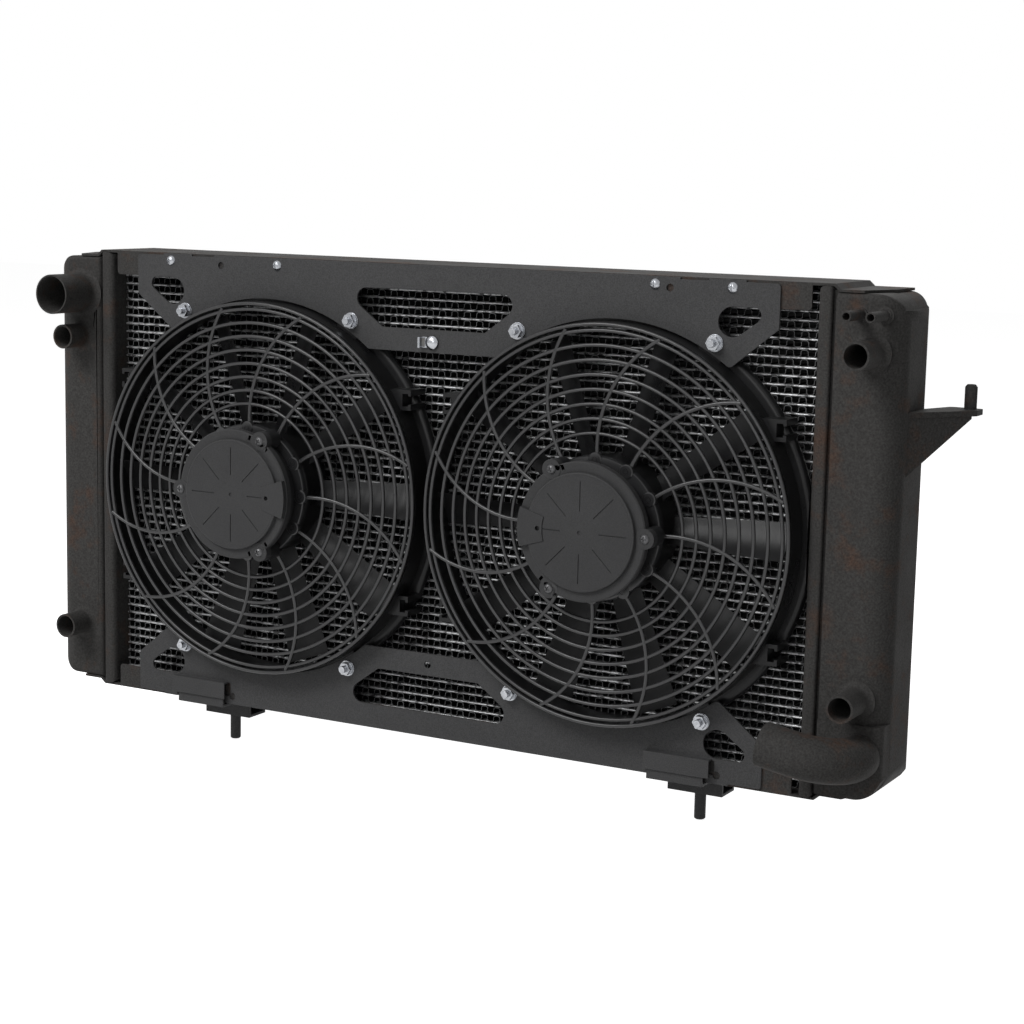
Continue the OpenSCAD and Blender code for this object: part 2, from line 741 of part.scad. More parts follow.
module cable_clip() color(fan_black) placed() translate([0, 0, clip_z()]) {
    turn_y() {
        area(0, 0, clip_rivet_r(), plate_t + 2);
        area(0, -1.5, 6, 0);
        intersection() {
            translate([0, 3]) circle(r = 7.5);
            area(0, -4.5, 6, -1.5);
        }
        area(0, plate_t, clip_rivet_r() + 1.5, plate_t + 2);
    }
    translate([-11, -6, -4.5]) cube([2, 6, 9]);
    translate([-11, -1.5, -4.5]) cube([8, 1.5, 9]);
}

// ---- fan bolts ----

module at_bolts() placed() for (f = [-1, 1], x = [-1, 1], z = [-1, 1])
    translate([f * fan_x + x * bolt_x, 0, z * bolt_z]) children();

module fan_bolts() color(zinc) at_bolts() {
    rod_y(bolt_d / 2, -10, plate_t + lug_t);
    rod_y(bolt_d / 2 + 3, plate_t + lug_t, plate_t + lug_t + 3);
}

module fan_nuts() color(zinc) at_bolts() difference() {
    translate([0, -1, 0]) rotate([90, 0, 0]) {
        cylinder(r = bolt_d / 2 + 2.8, h = 5, $fn = 6);
        cylinder(r = bolt_d / 2 + 3.6, h = 1.2);
    }
    rod_y(bolt_d / 2 + fit, -cut - 10, cut);
}

module fan_washers() color(zinc) at_bolts() tube_y(bolt_d / 2 + 4, bolt_d / 2 + fit, -1, 0);

// ---- fans: drawn about the fan's own axis, the right-hand one as it stands ----

module at_fan(side) placed() translate([side * fan_x, 0, 0]) rotate([0, side > 0 ? 0 : 180, 0]) children();

// Distance of the guard's front face from the plates at radius r
function guard_front(r) = -rim_front + 1 - guard_slope * (housing_out - r);

// One bar that leaves the hub radially and bends round towards the rim
module spoke_outline() intersection() {
    translate([spoke_arc_r * 0.72, -spoke_arc_r]) difference() {
        circle(r = spoke_arc_r + guard_bar / 2);
        circle(r = spoke_arc_r - guard_bar / 2);
    }
    area(guard_hub_r - 1, -spoke_arc_r, housing_out + 20, 4);
}

module guard_outline() {
    for (k = [0:ring_count - 1]) let (r = first_ring - k * ring_step) if (r > guard_hub_r + guard_bar) difference() {
        circle(r = r + guard_bar / 2);
        circle(r = r - guard_bar / 2);
    }
    intersection() {
        for (k = [0:spoke_count - 1]) rotate(k * 360 / spoke_count) spoke_outline();
        circle(r = housing_out - 0.5);
    }
}

module guard() intersection() {
    extrude_y(guard_hub_front - cut, -rim_front + guard_t) guard_outline();
    turn_y() polygon([
        [guard_hub_r - 2, guard_front(guard_hub_r - 2)], [housing_out, guard_front(housing_out)],
        [housing_out, guard_front(housing_out) + guard_t], [guard_hub_r - 2, guard_front(guard_hub_r - 2) + guard_t],
    ]);
}

module guard_hub() {
    difference() {
        union() {
            rod_y(guard_hub_r, guard_hub_front + 1, guard_hub_back + 3);
            for (k = [0:spoke_count - 1]) rotate([0, k * 360 / spoke_count, 0]) translate([screw_circle_r, 0, 0])
                rod_y(6, guard_hub_front, guard_hub_back);
        }
        rod_y(case_r + fit, guard_hub_front - cut, 0);
        for (k = [0:spoke_count - 1]) rotate([0, k * 360 / spoke_count, 0]) translate([screw_circle_r, 0, 0])
            rod_y(cover_screw_d / 2 + fit, guard_hub_front - cut, 0);
    }
}

// A block on the housing's side with a slot open outwards
module slot_lug() extrude_y(-8, housing_back - 2) difference() {
    area(slot_lug_x - 26, slot_lug_z - slot_lug_h / 2, slot_lug_x, slot_lug_z + slot_lug_h / 2);
    area(slot_lug_x - 8, slot_lug_z - slot_lug_h / 2 + slot_lug_wall, slot_lug_x - 2.5, slot_lug_z + slot_lug_h / 2 - slot_lug_wall);
    area(slot_lug_x - 8, slot_lug_z - 3.5, slot_lug_x + cut, slot_lug_z + 3.5);
}

module bolt_lugs() extrude_y(plate_t, plate_t + lug_t) for (x = [-1, 1], z = [-1, 1]) difference() {
    union() {
        translate([x * bolt_x, z * bolt_z]) circle(r = lug_r);
        rotate(atan2(z * bolt_z, x * bolt_x)) area(housing_in + 1, -lug_r, norm([bolt_x, bolt_z]), lug_r);
    }
    translate([x * bolt_x, z * bolt_z]) circle(r = bolt_d / 2 + fit);
}

// The rim round the housing's back, flat beside the other fan and the header, with room for the bolt heads
module rear_bead() difference() {
    intersection() {
        turn_y() polygon(concat(
            [[housing_out - 1, housing_back], [housing_out - 1, housing_back - bead_l]],
            arc([housing_out + bead_reach - bead_l / 2, housing_back - bead_l / 2], bead_l / 2, -90, 90, 6)
        ));
        extrude_y(housing_back - bead_l - cut, housing_back + cut)
            square([2 * bead_flat, 2 * (housing_out + bead_reach)], center = true);
    }
    for (x = [-1, 1], z = [-1, 1]) translate([x * bolt_x, 0, z * bolt_z])
        rod_y(bolt_d / 2 + 4, plate_t + lug_t, housing_back + cut);
}

module fan_housing(side) color(fan_black) at_fan(side) difference() {
    union() {
        rod_y(housing_out, -rim_front + guard_t, housing_back);
        rear_bead();
        for (sx = [0, 1], sz = [0, 1]) mirror([sx, 0, 0]) mirror([0, 0, sz]) slot_lug();
        bolt_lugs();
    }
    rod_y(housing_in, -rim_front - cut, housing_back + cut);
}

module fan_guard(side) color(fan_black) at_fan(side) {
    tube_y(housing_out, housing_out - guard_bar, -rim_front, -rim_front + guard_t);
    guard();
    guard_hub();
}

// ---- fan motors ----

// Three places round the cover, one of them on the side away from the connector
module at_cover_screws() for (a = [0, 120, 240]) rotate([0, a, 0]) translate([screw_circle_r, 0, 0]) children();

module connector_area(inner, grow) {
    a = connector_half_angle;
    intersection() {
        difference() {
            circle(r = cover_r - 0.6 + grow);
            circle(r = inner - grow);
        }
        polygon([[0, 0], 90 * [-cos(a), sin(a)] + [0, grow], 90 * [-cos(a), -sin(a)] - [0, grow]]);
    }
}

module motor_cover(side) color(cover_grey) at_fan(side) difference() {
    union() {
        turn_y() polygon([
            [0, cover_front], [disc_r - 2, cover_front], [disc_r, flange_front + 0.5],
            [cover_r - 1, flange_front], [cover_r, flange_front + 1], [cover_r, cover_back], [0, cover_back],
        ]);
        at_cover_screws() rod_y(ear_r, flange_front, cover_back);
    }
    rod_y(disc_r - 4, cover_front + 3, cover_back + cut);
    at_cover_screws() rod_y(cover_screw_d / 2 + fit, flange_front - cut, cover_back + cut);
    extrude_y(cover_front - cut, cover_front + 2.2) connector_area(connector_in, 0.2);
    extrude_y(cover_front - cut, cover_back - 4) connector_area(disc_r - 2, 0.2);
    rod_y(1.6, cover_front - cut, cover_front + 0.8);
}

module connector_cover(side) color(cover_grey) at_fan(side) {
    extrude_y(cover_front - 0.8, cover_front + 2) difference() {
        connector_area(connector_in, 0);
        translate([-connector_in - 4.1, 0]) circle(r = 1.9);
    }
    extrude_y(cover_front + 1, cover_back - 4.2) connector_area(disc_r - 2, 0);
}

module cover_screws(side) color("#4a4a4a") at_fan(side) at_cover_screws() translate([0, flange_front, 0])
    pan_screw(cover_screw_d, guard_hub_back - flange_front, 4, 2.6);

module motor_case(side) color(fan_black) at_fan(side) difference() {
    union() {
        rod_y(cover_r - 4, cover_back, cover_back + 4);
        rod_y(case_shoulder_r, cover_back, guard_hub_front - 0.5);
        rod_y(case_r, cover_back, case_back);
        at_cover_screws() rod_y(ear_r, cover_back, guard_hub_front);
    }
    rod_y(magnet_r, cover_back - cut, case_back - case_wall);
    rod_y(bearing_r + fit, case_back - case_wall - cut, case_back + cut);
    at_cover_screws() rod_y(cover_screw_d / 2 + fit, cover_back - cut, guard_hub_front + cut);
}

module magnets(side) color("#2e2b2b") at_fan(side) extrude_y(-36, -11) for (s = [0, 180]) rotate(s) intersection() {
    difference() {
        circle(r = magnet_r);
        circle(r = magnet_r - magnet_t);
    }
    polygon([[0, 0], 80 * [cos(66), sin(66)], [0, 90], 80 * [-cos(66), sin(66)]]);
}

// The front bearing sits in the brush holder, the rear one in the case's end
module front_bearing(side) color("#b08d57") at_fan(side) tube_y(bearing_r, shaft_r + shaft_clearance, cover_front + 3, cover_back - 2);

module rear_bearing(side) color("#b08d57") at_fan(side) {
    tube_y(bearing_r, shaft_r + shaft_clearance, case_back - bearing_l, case_back);
    tube_y(bearing_r + 2, shaft_r + shaft_clearance, case_back - bearing_l, case_back - case_wall);
}

module brush_holder(side) color("#5b4a36") at_fan(side) difference() {
    union() {
        rod_y(disc_r - 4 - fit, cover_front + 3, cover_front + 5.5);
        rod_y(bearing_r + 3, cover_front + 3, cover_back - 3);
        for (s = [-1, 1]) translate([s * 24 - 8, cover_front + 5.4, -6]) cube([16, 8.6, 12]);
    }
    rod_y(bearing_r + fit, cover_front + 2, cover_back);
    for (s = [-1, 1]) translate([s * 23 - 12, cover_front + 7, -4]) cube([24, 5.4, 8]);
}

module brushes(side) color("#3c3c3c") at_fan(side) for (s = [-1, 1])
    translate([s * 22.3 - 8.5, cover_front + 7 + fit, -4 + fit]) cube([17, 5.4 - 2 * fit, 8 - 2 * fit]);

module shaft(side) color(steel) at_fan(side) rod_y(shaft_r, cover_front + 4, hub_back + 3);

module armature(side) color("#7a4a2a") at_fan(side) {
    tube_y(armature_r, shaft_r + 0.01, -35, -15);
    tube_y(13.4, shaft_r + 0.01, cover_front + 10.2, -35);
}

module blade() intersection() {
    rotate([-blade_pitch, 0, 0]) translate([hub_r - 3, -blade_t / 2, -blade_chord / 2])
        cube([blade_r - hub_r + 8, blade_t, blade_chord]);
    tube_y(blade_r, hub_r - 2, -rim_front, housing_back);
}

module impeller(side) color(fan_black) at_fan(side) {
    turn_y() {
        area(shaft_r + 0.01, hub_back - 9, shaft_r + 6, hub_back);
        area(shaft_r + 0.01, hub_back - hub_wall, hub_r, hub_back);
        area(hub_r - hub_wall, hub_front, hub_r, hub_back);
    }
    for (k = [0:blade_count - 1]) rotate([0, k * 360 / blade_count, 0]) blade();
}

core_tubes();
core_fins();
header_left();
header_right();
gasket_left();
gasket_right();
tank_left();
tank_right();
top_rail();
bottom_rail();
inlet_pipe();
vent_nipples();
outlet_elbow();
oil_cooler_left();
oil_cooler_right();
side_bracket();
side_stud();
peg_bracket_left();
peg_bracket_right();
lower_peg_left();
lower_peg_right();
upper_fan_plate();
lower_fan_plate();
plate_screws();
plate_nuts();
cable_clip();
fan_bolts();
fan_nuts();
fan_washers();
fan_housing(-1);  // left_fan_housing
fan_guard(-1);  // left_fan_guard
impeller(-1);  // left_impeller
shaft(-1);  // left_shaft
armature(-1);  // left_armature
motor_case(-1);  // left_motor_case
motor_cover(-1);  // left_motor_cover
cover_screws(-1);  // left_cover_screws
connector_cover(-1);  // left_connector_cover
magnets(-1);  // left_magnets
front_bearing(-1);  // left_front_bearing
rear_bearing(-1);  // left_rear_bearing
brush_holder(-1);  // left_brush_holder
brushes(-1);  // left_brushes
fan_housing(1);  // right_fan_housing
fan_guard(1);  // right_fan_guard
impeller(1);  // right_impeller
shaft(1);  // right_shaft
armature(1);  // right_armature
motor_case(1);  // right_motor_case
motor_cover(1);  // right_motor_cover
cover_screws(1);  // right_cover_screws
connector_cover(1);  // right_connector_cover
magnets(1);  // right_magnets
front_bearing(1);  // right_front_bearing
rear_bearing(1);  // right_rear_bearing
brush_holder(1);  // right_brush_holder
brushes(1);  // right_brushes
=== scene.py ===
import bpy
import bmesh
import json
import math
from mathutils import Matrix, Vector


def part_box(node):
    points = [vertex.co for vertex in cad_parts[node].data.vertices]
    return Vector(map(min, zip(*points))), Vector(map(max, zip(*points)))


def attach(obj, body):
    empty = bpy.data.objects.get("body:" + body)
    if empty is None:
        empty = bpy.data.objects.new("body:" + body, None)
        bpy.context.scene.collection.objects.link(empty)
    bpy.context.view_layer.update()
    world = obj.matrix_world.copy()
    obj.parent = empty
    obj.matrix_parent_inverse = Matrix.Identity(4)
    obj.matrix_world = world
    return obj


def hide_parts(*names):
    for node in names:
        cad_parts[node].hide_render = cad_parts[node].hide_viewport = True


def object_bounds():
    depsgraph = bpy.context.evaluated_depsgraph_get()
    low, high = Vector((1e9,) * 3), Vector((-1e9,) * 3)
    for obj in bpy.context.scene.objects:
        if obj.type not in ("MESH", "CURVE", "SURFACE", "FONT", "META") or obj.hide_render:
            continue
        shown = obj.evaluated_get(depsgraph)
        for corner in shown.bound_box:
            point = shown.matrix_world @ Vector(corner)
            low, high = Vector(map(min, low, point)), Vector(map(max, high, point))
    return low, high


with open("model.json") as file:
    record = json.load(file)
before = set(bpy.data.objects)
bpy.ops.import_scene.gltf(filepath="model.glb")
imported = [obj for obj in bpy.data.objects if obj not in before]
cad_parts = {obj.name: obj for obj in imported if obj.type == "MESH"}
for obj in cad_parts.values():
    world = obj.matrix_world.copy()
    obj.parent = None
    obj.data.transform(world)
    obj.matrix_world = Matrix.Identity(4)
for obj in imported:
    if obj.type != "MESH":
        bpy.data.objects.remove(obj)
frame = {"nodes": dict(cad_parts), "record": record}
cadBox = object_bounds()
mm = 0.001      # sizes in the settings are in mm and angles in degrees, unless a note says otherwise
hair = 0.05 * mm      # places nearer than this count as one
nodeSlot = {part["node"]: part["material_slot"] for part in frame["record"]["subparts"]}

# Places that every piece is set out from
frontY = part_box("upper_fan_plate")[0].y      # front face of the fan plates
finLow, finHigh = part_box("core_fins")
coreZ = (finLow.z + finHigh.z) / 2


def shaftPlace(side):
    low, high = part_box(side + "_shaft")
    return Vector(((low.x + high.x) / 2, frontY, (low.z + high.z) / 2))


fanPlace = {side: shaftPlace(side) for side in ("left", "right")}
fanTurn = {"left": 180, "right": 0}      # the left fan is the right one turned half round
# How finely round things are drawn
facets = dict(ring=120, hub=96, pipe=48, ear=24, section=12, hoopBar=10, spokeBar=8, bead=8)


# patchScale and grain are noise scales, bumpSize is in m, and the y limits of the painted light on the fan's
# front bars are y from the plates' front face
finishes = {
    "tank_paint": dict(
        colour=(0.052, 0.0505, 0.049), patch=(0.075, 0.049, 0.038), patchScale=32, patchFrom=0.52, patchTo=0.70,
        grain=620, grainDepth=0.26, rough=0.58, roughSpread=0.14, bump=0.22, bumpSize=0.0005, shine=0.02),
    "plate_powder": dict(
        colour=(0.064, 0.064, 0.065), patch=(0.057, 0.057, 0.058), patchScale=9, patchFrom=0.35, patchTo=0.70,
        grain=1100, grainDepth=0.24, rough=0.50, roughSpread=0.08, bump=0.30, bumpSize=0.0004, shine=0.08),
    "fan_plastic": dict(
        colour=(0.010, 0.010, 0.0105), patch=(0.013, 0.013, 0.0135), patchScale=30, patchFrom=0.4, patchTo=0.7,
        grain=900, grainDepth=0.08, rough=0.30, roughSpread=0.08, bump=0.05, bumpSize=0.0003, shine=0.18,
        # painted light: a lighter colour and more shine for the guard bars in front, where the lamps catch them
        litFrontColour=(0.019, 0.019, 0.020), litFrontShine=0.45, litFrontFrom=-15.5, litFrontTo=-18.5),
    "cover_plastic": dict(
        colour=(0.046, 0.046, 0.047), patch=(0.051, 0.051, 0.052), patchScale=24, patchFrom=0.4, patchTo=0.7,
        grain=1300, grainDepth=0.16, rough=0.46, roughSpread=0.06, bump=0.16, bumpSize=0.0003, shine=0.10),
    "motor_paint": dict(
        colour=(0.022, 0.022, 0.023), patch=(0.018, 0.018, 0.019), patchScale=40, patchFrom=0.4, patchTo=0.7,
        grain=600, grainDepth=0.10, rough=0.40, roughSpread=0.10, bump=0.06, bumpSize=0.0003, shine=0.12),
    "bright_zinc": dict(
        colour=(0.36, 0.37, 0.39), patch=(0.22, 0.23, 0.25), patchScale=160, patchFrom=0.45, patchTo=0.75,
        grain=1800, grainDepth=0.06, rough=0.24, roughSpread=0.14, bump=0.05, bumpSize=0.0002, metal=1.0),
    "stud_steel": dict(
        colour=(0.13, 0.13, 0.13), patch=(0.09, 0.085, 0.08), patchScale=110, patchFrom=0.45, patchTo=0.7,
        grain=1200, grainDepth=0.15, rough=0.45, roughSpread=0.12, bump=0.10, bumpSize=0.0003, metal=0.4),
    "dark_screw": dict(
        colour=(0.085, 0.085, 0.088), patch=(0.05, 0.05, 0.052), patchScale=200, patchFrom=0.45, patchTo=0.7,
        grain=1500, grainDepth=0.10, rough=0.36, roughSpread=0.12, bump=0.05, bumpSize=0.0002, metal=0.5),
    # painted light: large dark patches break the tube fronts' bright tone into separate bright segments,
    # painted to look like broken highlights
    "tube_metal": dict(
        colour=(0.44, 0.445, 0.45), patch=(0.035, 0.035, 0.036), patchScale=230, patchFrom=0.46, patchTo=0.60,
        grain=1300, grainDepth=0.25, rough=0.36, roughSpread=0.14, bump=0.15, bumpSize=0.0003, metal=0.5),
    "gasket_rubber": dict(
        colour=(0.014, 0.014, 0.014), patch=(0.020, 0.020, 0.020), patchScale=60, patchFrom=0.4, patchTo=0.7,
        grain=900, grainDepth=0.15, rough=0.82, roughSpread=0.08, bump=0.15, bumpSize=0.0003, shine=0.2),
    "magnet_ferrite": dict(
        colour=(0.045, 0.042, 0.042), patch=(0.060, 0.055, 0.052), patchScale=120, patchFrom=0.4, patchTo=0.7,
        grain=1500, grainDepth=0.2, rough=0.7, roughSpread=0.1, bump=0.15, bumpSize=0.0003),
    "bearing_bronze": dict(
        colour=(0.50, 0.33, 0.14), patch=(0.36, 0.22, 0.09), patchScale=300, patchFrom=0.4, patchTo=0.7,
        grain=2500, grainDepth=0.2, rough=0.45, roughSpread=0.1, bump=0.15, bumpSize=0.0002, metal=1.0),
    "brush_board": dict(
        colour=(0.22, 0.14, 0.07), patch=(0.17, 0.10, 0.05), patchScale=90, patchFrom=0.4, patchTo=0.7,
        grain=1500, grainDepth=0.15, rough=0.6, roughSpread=0.1, bump=0.1, bumpSize=0.0002),
    "carbon": dict(
        colour=(0.035, 0.035, 0.036), patch=(0.05, 0.05, 0.052), patchScale=400, patchFrom=0.4, patchTo=0.7,
        grain=2500, grainDepth=0.2, rough=0.65, roughSpread=0.1, bump=0.15, bumpSize=0.0002),
    "armature_iron": dict(
        colour=(0.22, 0.15, 0.10), patch=(0.30, 0.20, 0.13), patchScale=250, patchFrom=0.4, patchTo=0.7,
        grain=1200, grainDepth=0.2, rough=0.5, roughSpread=0.1, bump=0.15, bumpSize=0.0003, metal=0.8),
}


def addNode(tree, kind, settings=None, **plugs):
    # plugs name the sockets: From_Min is the socket "From Min", and s2 is the third one
    node = tree.nodes.new(kind)
    for key, value in (settings or {}).items():
        setattr(node, key, value)
    for key, value in plugs.items():
        byNumber = key[0] == "s" and key[1:].isdigit()
        socket = node.inputs[int(key[1:]) if byNumber else key.replace("_", " ")]
        if isinstance(value, bpy.types.NodeSocket):
            tree.links.new(value, socket)
        else:
            socket.default_value = value
    return node


def noiseAt(tree, place, scale, detail, roughness=0.55):
    return addNode(tree, "ShaderNodeTexNoise", None, Vector=place, Scale=scale, Detail=detail,
                   Roughness=roughness).outputs[0]


def spread(tree, value, low, high, toLow, toHigh):
    return addNode(tree, "ShaderNodeMapRange", None, Value=value, From_Min=low, From_Max=high, To_Min=toLow,
                   To_Max=toHigh).outputs[0]


def blendColours(tree, share, one, other, how="MIX"):
    return addNode(tree, "ShaderNodeMix", dict(data_type="RGBA", blend_type=how), s0=share, s6=one,
                   s7=other).outputs[2]


noise = dict(cloudDetail=8, cloudRough=0.66, grainDetail=3, low=0.3, high=0.7)


def makeFinish(name, f):
    material = bpy.data.materials.new(name)
    material.use_nodes = True
    tree = material.node_tree
    shader = tree.nodes["Principled BSDF"]
    place = addNode(tree, "ShaderNodeTexCoord").outputs["Object"]
    cloud = noiseAt(tree, place, f["patchScale"], noise["cloudDetail"], noise["cloudRough"])
    grain = noiseAt(tree, place, f["grain"], noise["grainDetail"])
    share = spread(tree, cloud, f["patchFrom"], f["patchTo"], 0, 1)
    base = blendColours(tree, share, (*f["colour"], 1), (*f["patch"], 1))
    if "litFrontColour" in f:      # painted light: the bars that stand in front get a lighter colour and more shine, for the light and highlights they catch in front of the housing in shade
        depth = addNode(tree, "ShaderNodeSeparateXYZ", None, Vector=place).outputs[1]
        litFrontShare = spread(tree, depth, frontY + f["litFrontFrom"] * mm, frontY + f["litFrontTo"] * mm, 0, 1)
        base = blendColours(tree, litFrontShare, base, (*f["litFrontColour"], 1))
        tree.links.new(spread(tree, litFrontShare, 0, 1, f["shine"], f["litFrontShine"]),
                       shader.inputs["Specular IOR Level"])
    speckle = spread(tree, grain, noise["low"], noise["high"], 1 - f["grainDepth"], 1 + f["grainDepth"])
    speckled = blendColours(tree, 1.0, base,
                            addNode(tree, "ShaderNodeCombineColor", None, Red=speckle, Green=speckle,
                                    Blue=speckle).outputs[0], "MULTIPLY")
    tree.links.new(speckled, shader.inputs["Base Color"])
    half = f["roughSpread"] / 2
    rough = spread(tree, cloud, noise["low"], noise["high"], f["rough"] - half, f["rough"] + half)
    tree.links.new(rough, shader.inputs["Roughness"])
    relief = addNode(tree, "ShaderNodeBump", None, Strength=f["bump"], Distance=f["bumpSize"], Height=grain)
    tree.links.new(relief.outputs[0], shader.inputs["Normal"])
    shader.inputs["Metallic"].default_value = f.get("metal", 0.0)
    shader.inputs["Specular IOR Level"].default_value = f.get("shine", 0.5)
    return material


def makeFinMetal():
    # Bright cut edges at the core's two faces; the folds between them are coloured near-black, as painted shade
    # for the deep cells of the core
    f = dict(edge=(0.28, 0.284, 0.288), paintedFoldShade=(0.005, 0.005, 0.005), edgeDepth=0.7, edgeStart=0.1, louvres=120,
             foldDark=0.6, edgeDark=0.5, wear=140, bump=0.2, bumpSize=0.0003, rough=0.5, metal=0.0, shine=0.08)
    material = bpy.data.materials.new("fin_metal")
    material.use_nodes = True
    tree = material.node_tree
    shader = tree.nodes["Principled BSDF"]
    place = addNode(tree, "ShaderNodeTexCoord").outputs["Object"]
    along = addNode(tree, "ShaderNodeSeparateXYZ", None, Vector=place).outputs[1]
    middle = addNode(tree, "ShaderNodeMath", dict(operation="SUBTRACT"), s0=along,
                     s1=(finLow.y + finHigh.y) / 2).outputs[0]
    off = addNode(tree, "ShaderNodeMath", dict(operation="ABSOLUTE"), s0=middle).outputs[0]
    half = (finHigh.y - finLow.y) / 2
    atEdge = spread(tree, off, half - f["edgeDepth"] * mm, half - f["edgeStart"] * mm, 0, 1)
    louvre = addNode(tree, "ShaderNodeTexWave", dict(bands_direction="Y"), Vector=place, Scale=f["louvres"],
                     Distortion=0.0).outputs[1]
    # painted shade: the fin folds inside the core are coloured near-black
    paintedFoldShade = blendColours(tree, louvre, (*f["paintedFoldShade"], 1), tuple(f["foldDark"] * c for c in f["paintedFoldShade"]) + (1,))
    worn = noiseAt(tree, place, f["wear"], noise["grainDetail"])
    edge = blendColours(tree, spread(tree, worn, 0.35, 0.65, 0, 1), (*f["edge"], 1),
                        tuple(f["edgeDark"] * c for c in f["edge"]) + (1,))
    tree.links.new(blendColours(tree, atEdge, paintedFoldShade, edge), shader.inputs["Base Color"])
    relief = addNode(tree, "ShaderNodeBump", None, Strength=f["bump"], Distance=f["bumpSize"], Height=worn)
    tree.links.new(relief.outputs[0], shader.inputs["Normal"])
    shader.inputs["Roughness"].default_value = f["rough"]
    shader.inputs["Metallic"].default_value = f["metal"]
    shader.inputs["Specular IOR Level"].default_value = f["shine"]
    return material


materials = {name: makeFinish(name, f) for name, f in finishes.items()}
materials["fin_metal"] = makeFinMetal()
for node, thing in frame["nodes"].items():
    thing.data.materials.clear()
    thing.data.materials.append(materials[nodeSlot[node]])
print("finishes made:", len(materials))


def link(obj):
    bpy.context.scene.collection.objects.link(obj)
    return obj


def meshFrom(name, points, faces):
    mesh = bpy.data.meshes.new(name)
    mesh.from_pydata(points, [], faces)
    return link(bpy.data.objects.new(name, mesh))


def outward(obj, merge=0.0):
    work = bmesh.new()
    work.from_mesh(obj.data)
    if merge:
        bmesh.ops.remove_doubles(work, verts=work.verts, dist=merge)
    bmesh.ops.recalc_face_normals(work, faces=work.faces)
    work.to_mesh(obj.data)
    work.free()


def settle(obj):
    # Turns what the modifiers give into the piece's own plain mesh
    mesh = bpy.data.meshes.new_from_object(obj.evaluated_get(bpy.context.evaluated_depsgraph_get()))
    old = obj.data
    obj.modifiers.clear()
    obj.data = mesh
    mesh.name = obj.name
    bpy.data.meshes.remove(old)
    return obj


def done(obj, body, slot, *nodes, smooth=32):
    obj.data.materials.clear()
    obj.data.materials.append(materials[slot])
    for face in obj.data.polygons:
        face.material_index = 0
    if smooth and not obj.data.has_custom_normals:
        obj.data.shade_smooth()
        obj.data.set_sharp_from_angle(angle=math.radians(smooth))
    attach(obj, body)
    if nodes:
        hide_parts(*nodes)
    return obj


softening = dict(merge=2e-6, flat=0.3, sharp=0.8, bevelFrom=38, smoothTo=40)      # merge in m, sharp in radians


def softened(node, name, width, steps=2, rounds=(), cutter=None):
    # A copy of a CAD node whose edges are rounded, as pressed, moulded or brazed edges are.
    # rounds holds (picks, width, steps): larger roundings on the edges whose two ends are both picked
    mesh = frame["nodes"][node].data.copy()
    work = bmesh.new()
    work.from_mesh(mesh)
    bmesh.ops.remove_doubles(work, verts=work.verts, dist=softening["merge"])
    bmesh.ops.dissolve_limit(work, angle_limit=math.radians(softening["flat"]), verts=work.verts,
                               edges=work.edges)
    work.to_mesh(mesh)
    work.free()
    obj = link(bpy.data.objects.new(name, mesh))
    if cutter:
        carve = obj.modifiers.new("carve", "BOOLEAN")
        carve.operation, carve.solver, carve.object = "DIFFERENCE", "EXACT", cutter
        settle(obj)
        bpy.data.objects.remove(cutter)
    for picks, reach, segments in rounds:
        work = bmesh.new()
        work.from_mesh(obj.data)
        layers = work.edges.layers.float
        weights = layers.get("bevel_weight_edge") or layers.new("bevel_weight_edge")
        for edge in work.edges:
            sharp = len(edge.link_faces) == 2 and edge.is_convex and edge.calc_face_angle() > softening["sharp"]
            edge[weights] = 1.0 if sharp and all(picks(v.co) for v in edge.verts) else 0.0
        work.to_mesh(obj.data)
        work.free()
        big = obj.modifiers.new("rounds", "BEVEL")
        big.limit_method = "WEIGHT"
        big.width = reach * mm
        big.segments = segments
        settle(obj)
    if width:
        bevel = obj.modifiers.new("edges", "BEVEL")
        bevel.limit_method = "ANGLE"
        bevel.angle_limit = math.radians(softening["bevelFrom"])
        bevel.width = width * mm
        bevel.segments = steps
        bevel.use_clamp_overlap = True
        settle(obj)
    obj.data.shade_smooth()
    obj.data.set_sharp_from_angle(angle=math.radians(softening["smoothTo"]))
    even = obj.modifiers.new("evenShade", "WEIGHTED_NORMAL")
    even.keep_sharp = True
    return settle(obj)


def turned(name, profile, steps):
    # A shape turned about Y from (radius, y) pairs in mm, closed at the axis where the radius is 0
    points, faces = [], []
    count = len(profile)
    for k in range(steps):
        a = 2 * math.pi * k / steps
        for r, y in profile:
            points.append((r * mm * math.cos(a), y * mm, r * mm * math.sin(a)))
    for k in range(steps):
        for i in range(count - 1):
            a, b = k * count + i, ((k + 1) % steps) * count + i
            faces.append((a, a + 1, b + 1, b))
    obj = meshFrom(name, points, faces)
    outward(obj, 1e-6)
    return obj


def sweptTube(name, path, radius, sides):
    points, faces = [], []
    for i, here in enumerate(path):
        ahead = (path[min(i + 1, len(path) - 1)] - path[max(i - 1, 0)]).normalized()
        across = ahead.cross(Vector((0, 1, 0))).normalized()
        up = across.cross(ahead)
        for s in range(sides):
            a = 2 * math.pi * s / sides
            points.append(here + (across * math.cos(a) + up * math.sin(a)) * radius)
    for i in range(len(path) - 1):
        for s in range(sides):
            t = (s + 1) % sides
            faces.append((i * sides + s, i * sides + t, (i + 1) * sides + t, (i + 1) * sides + s))
    faces.append(tuple(range(sides)))
    faces.append(tuple(range((len(path) - 1) * sides, len(path) * sides)))
    obj = meshFrom(name, points, faces)
    outward(obj)
    return obj


def shifted(obj, offset, turn=0.0):
    obj.data.transform(Matrix.Translation(offset) @ Matrix.Rotation(math.radians(turn), 4, "Y"))
    return obj


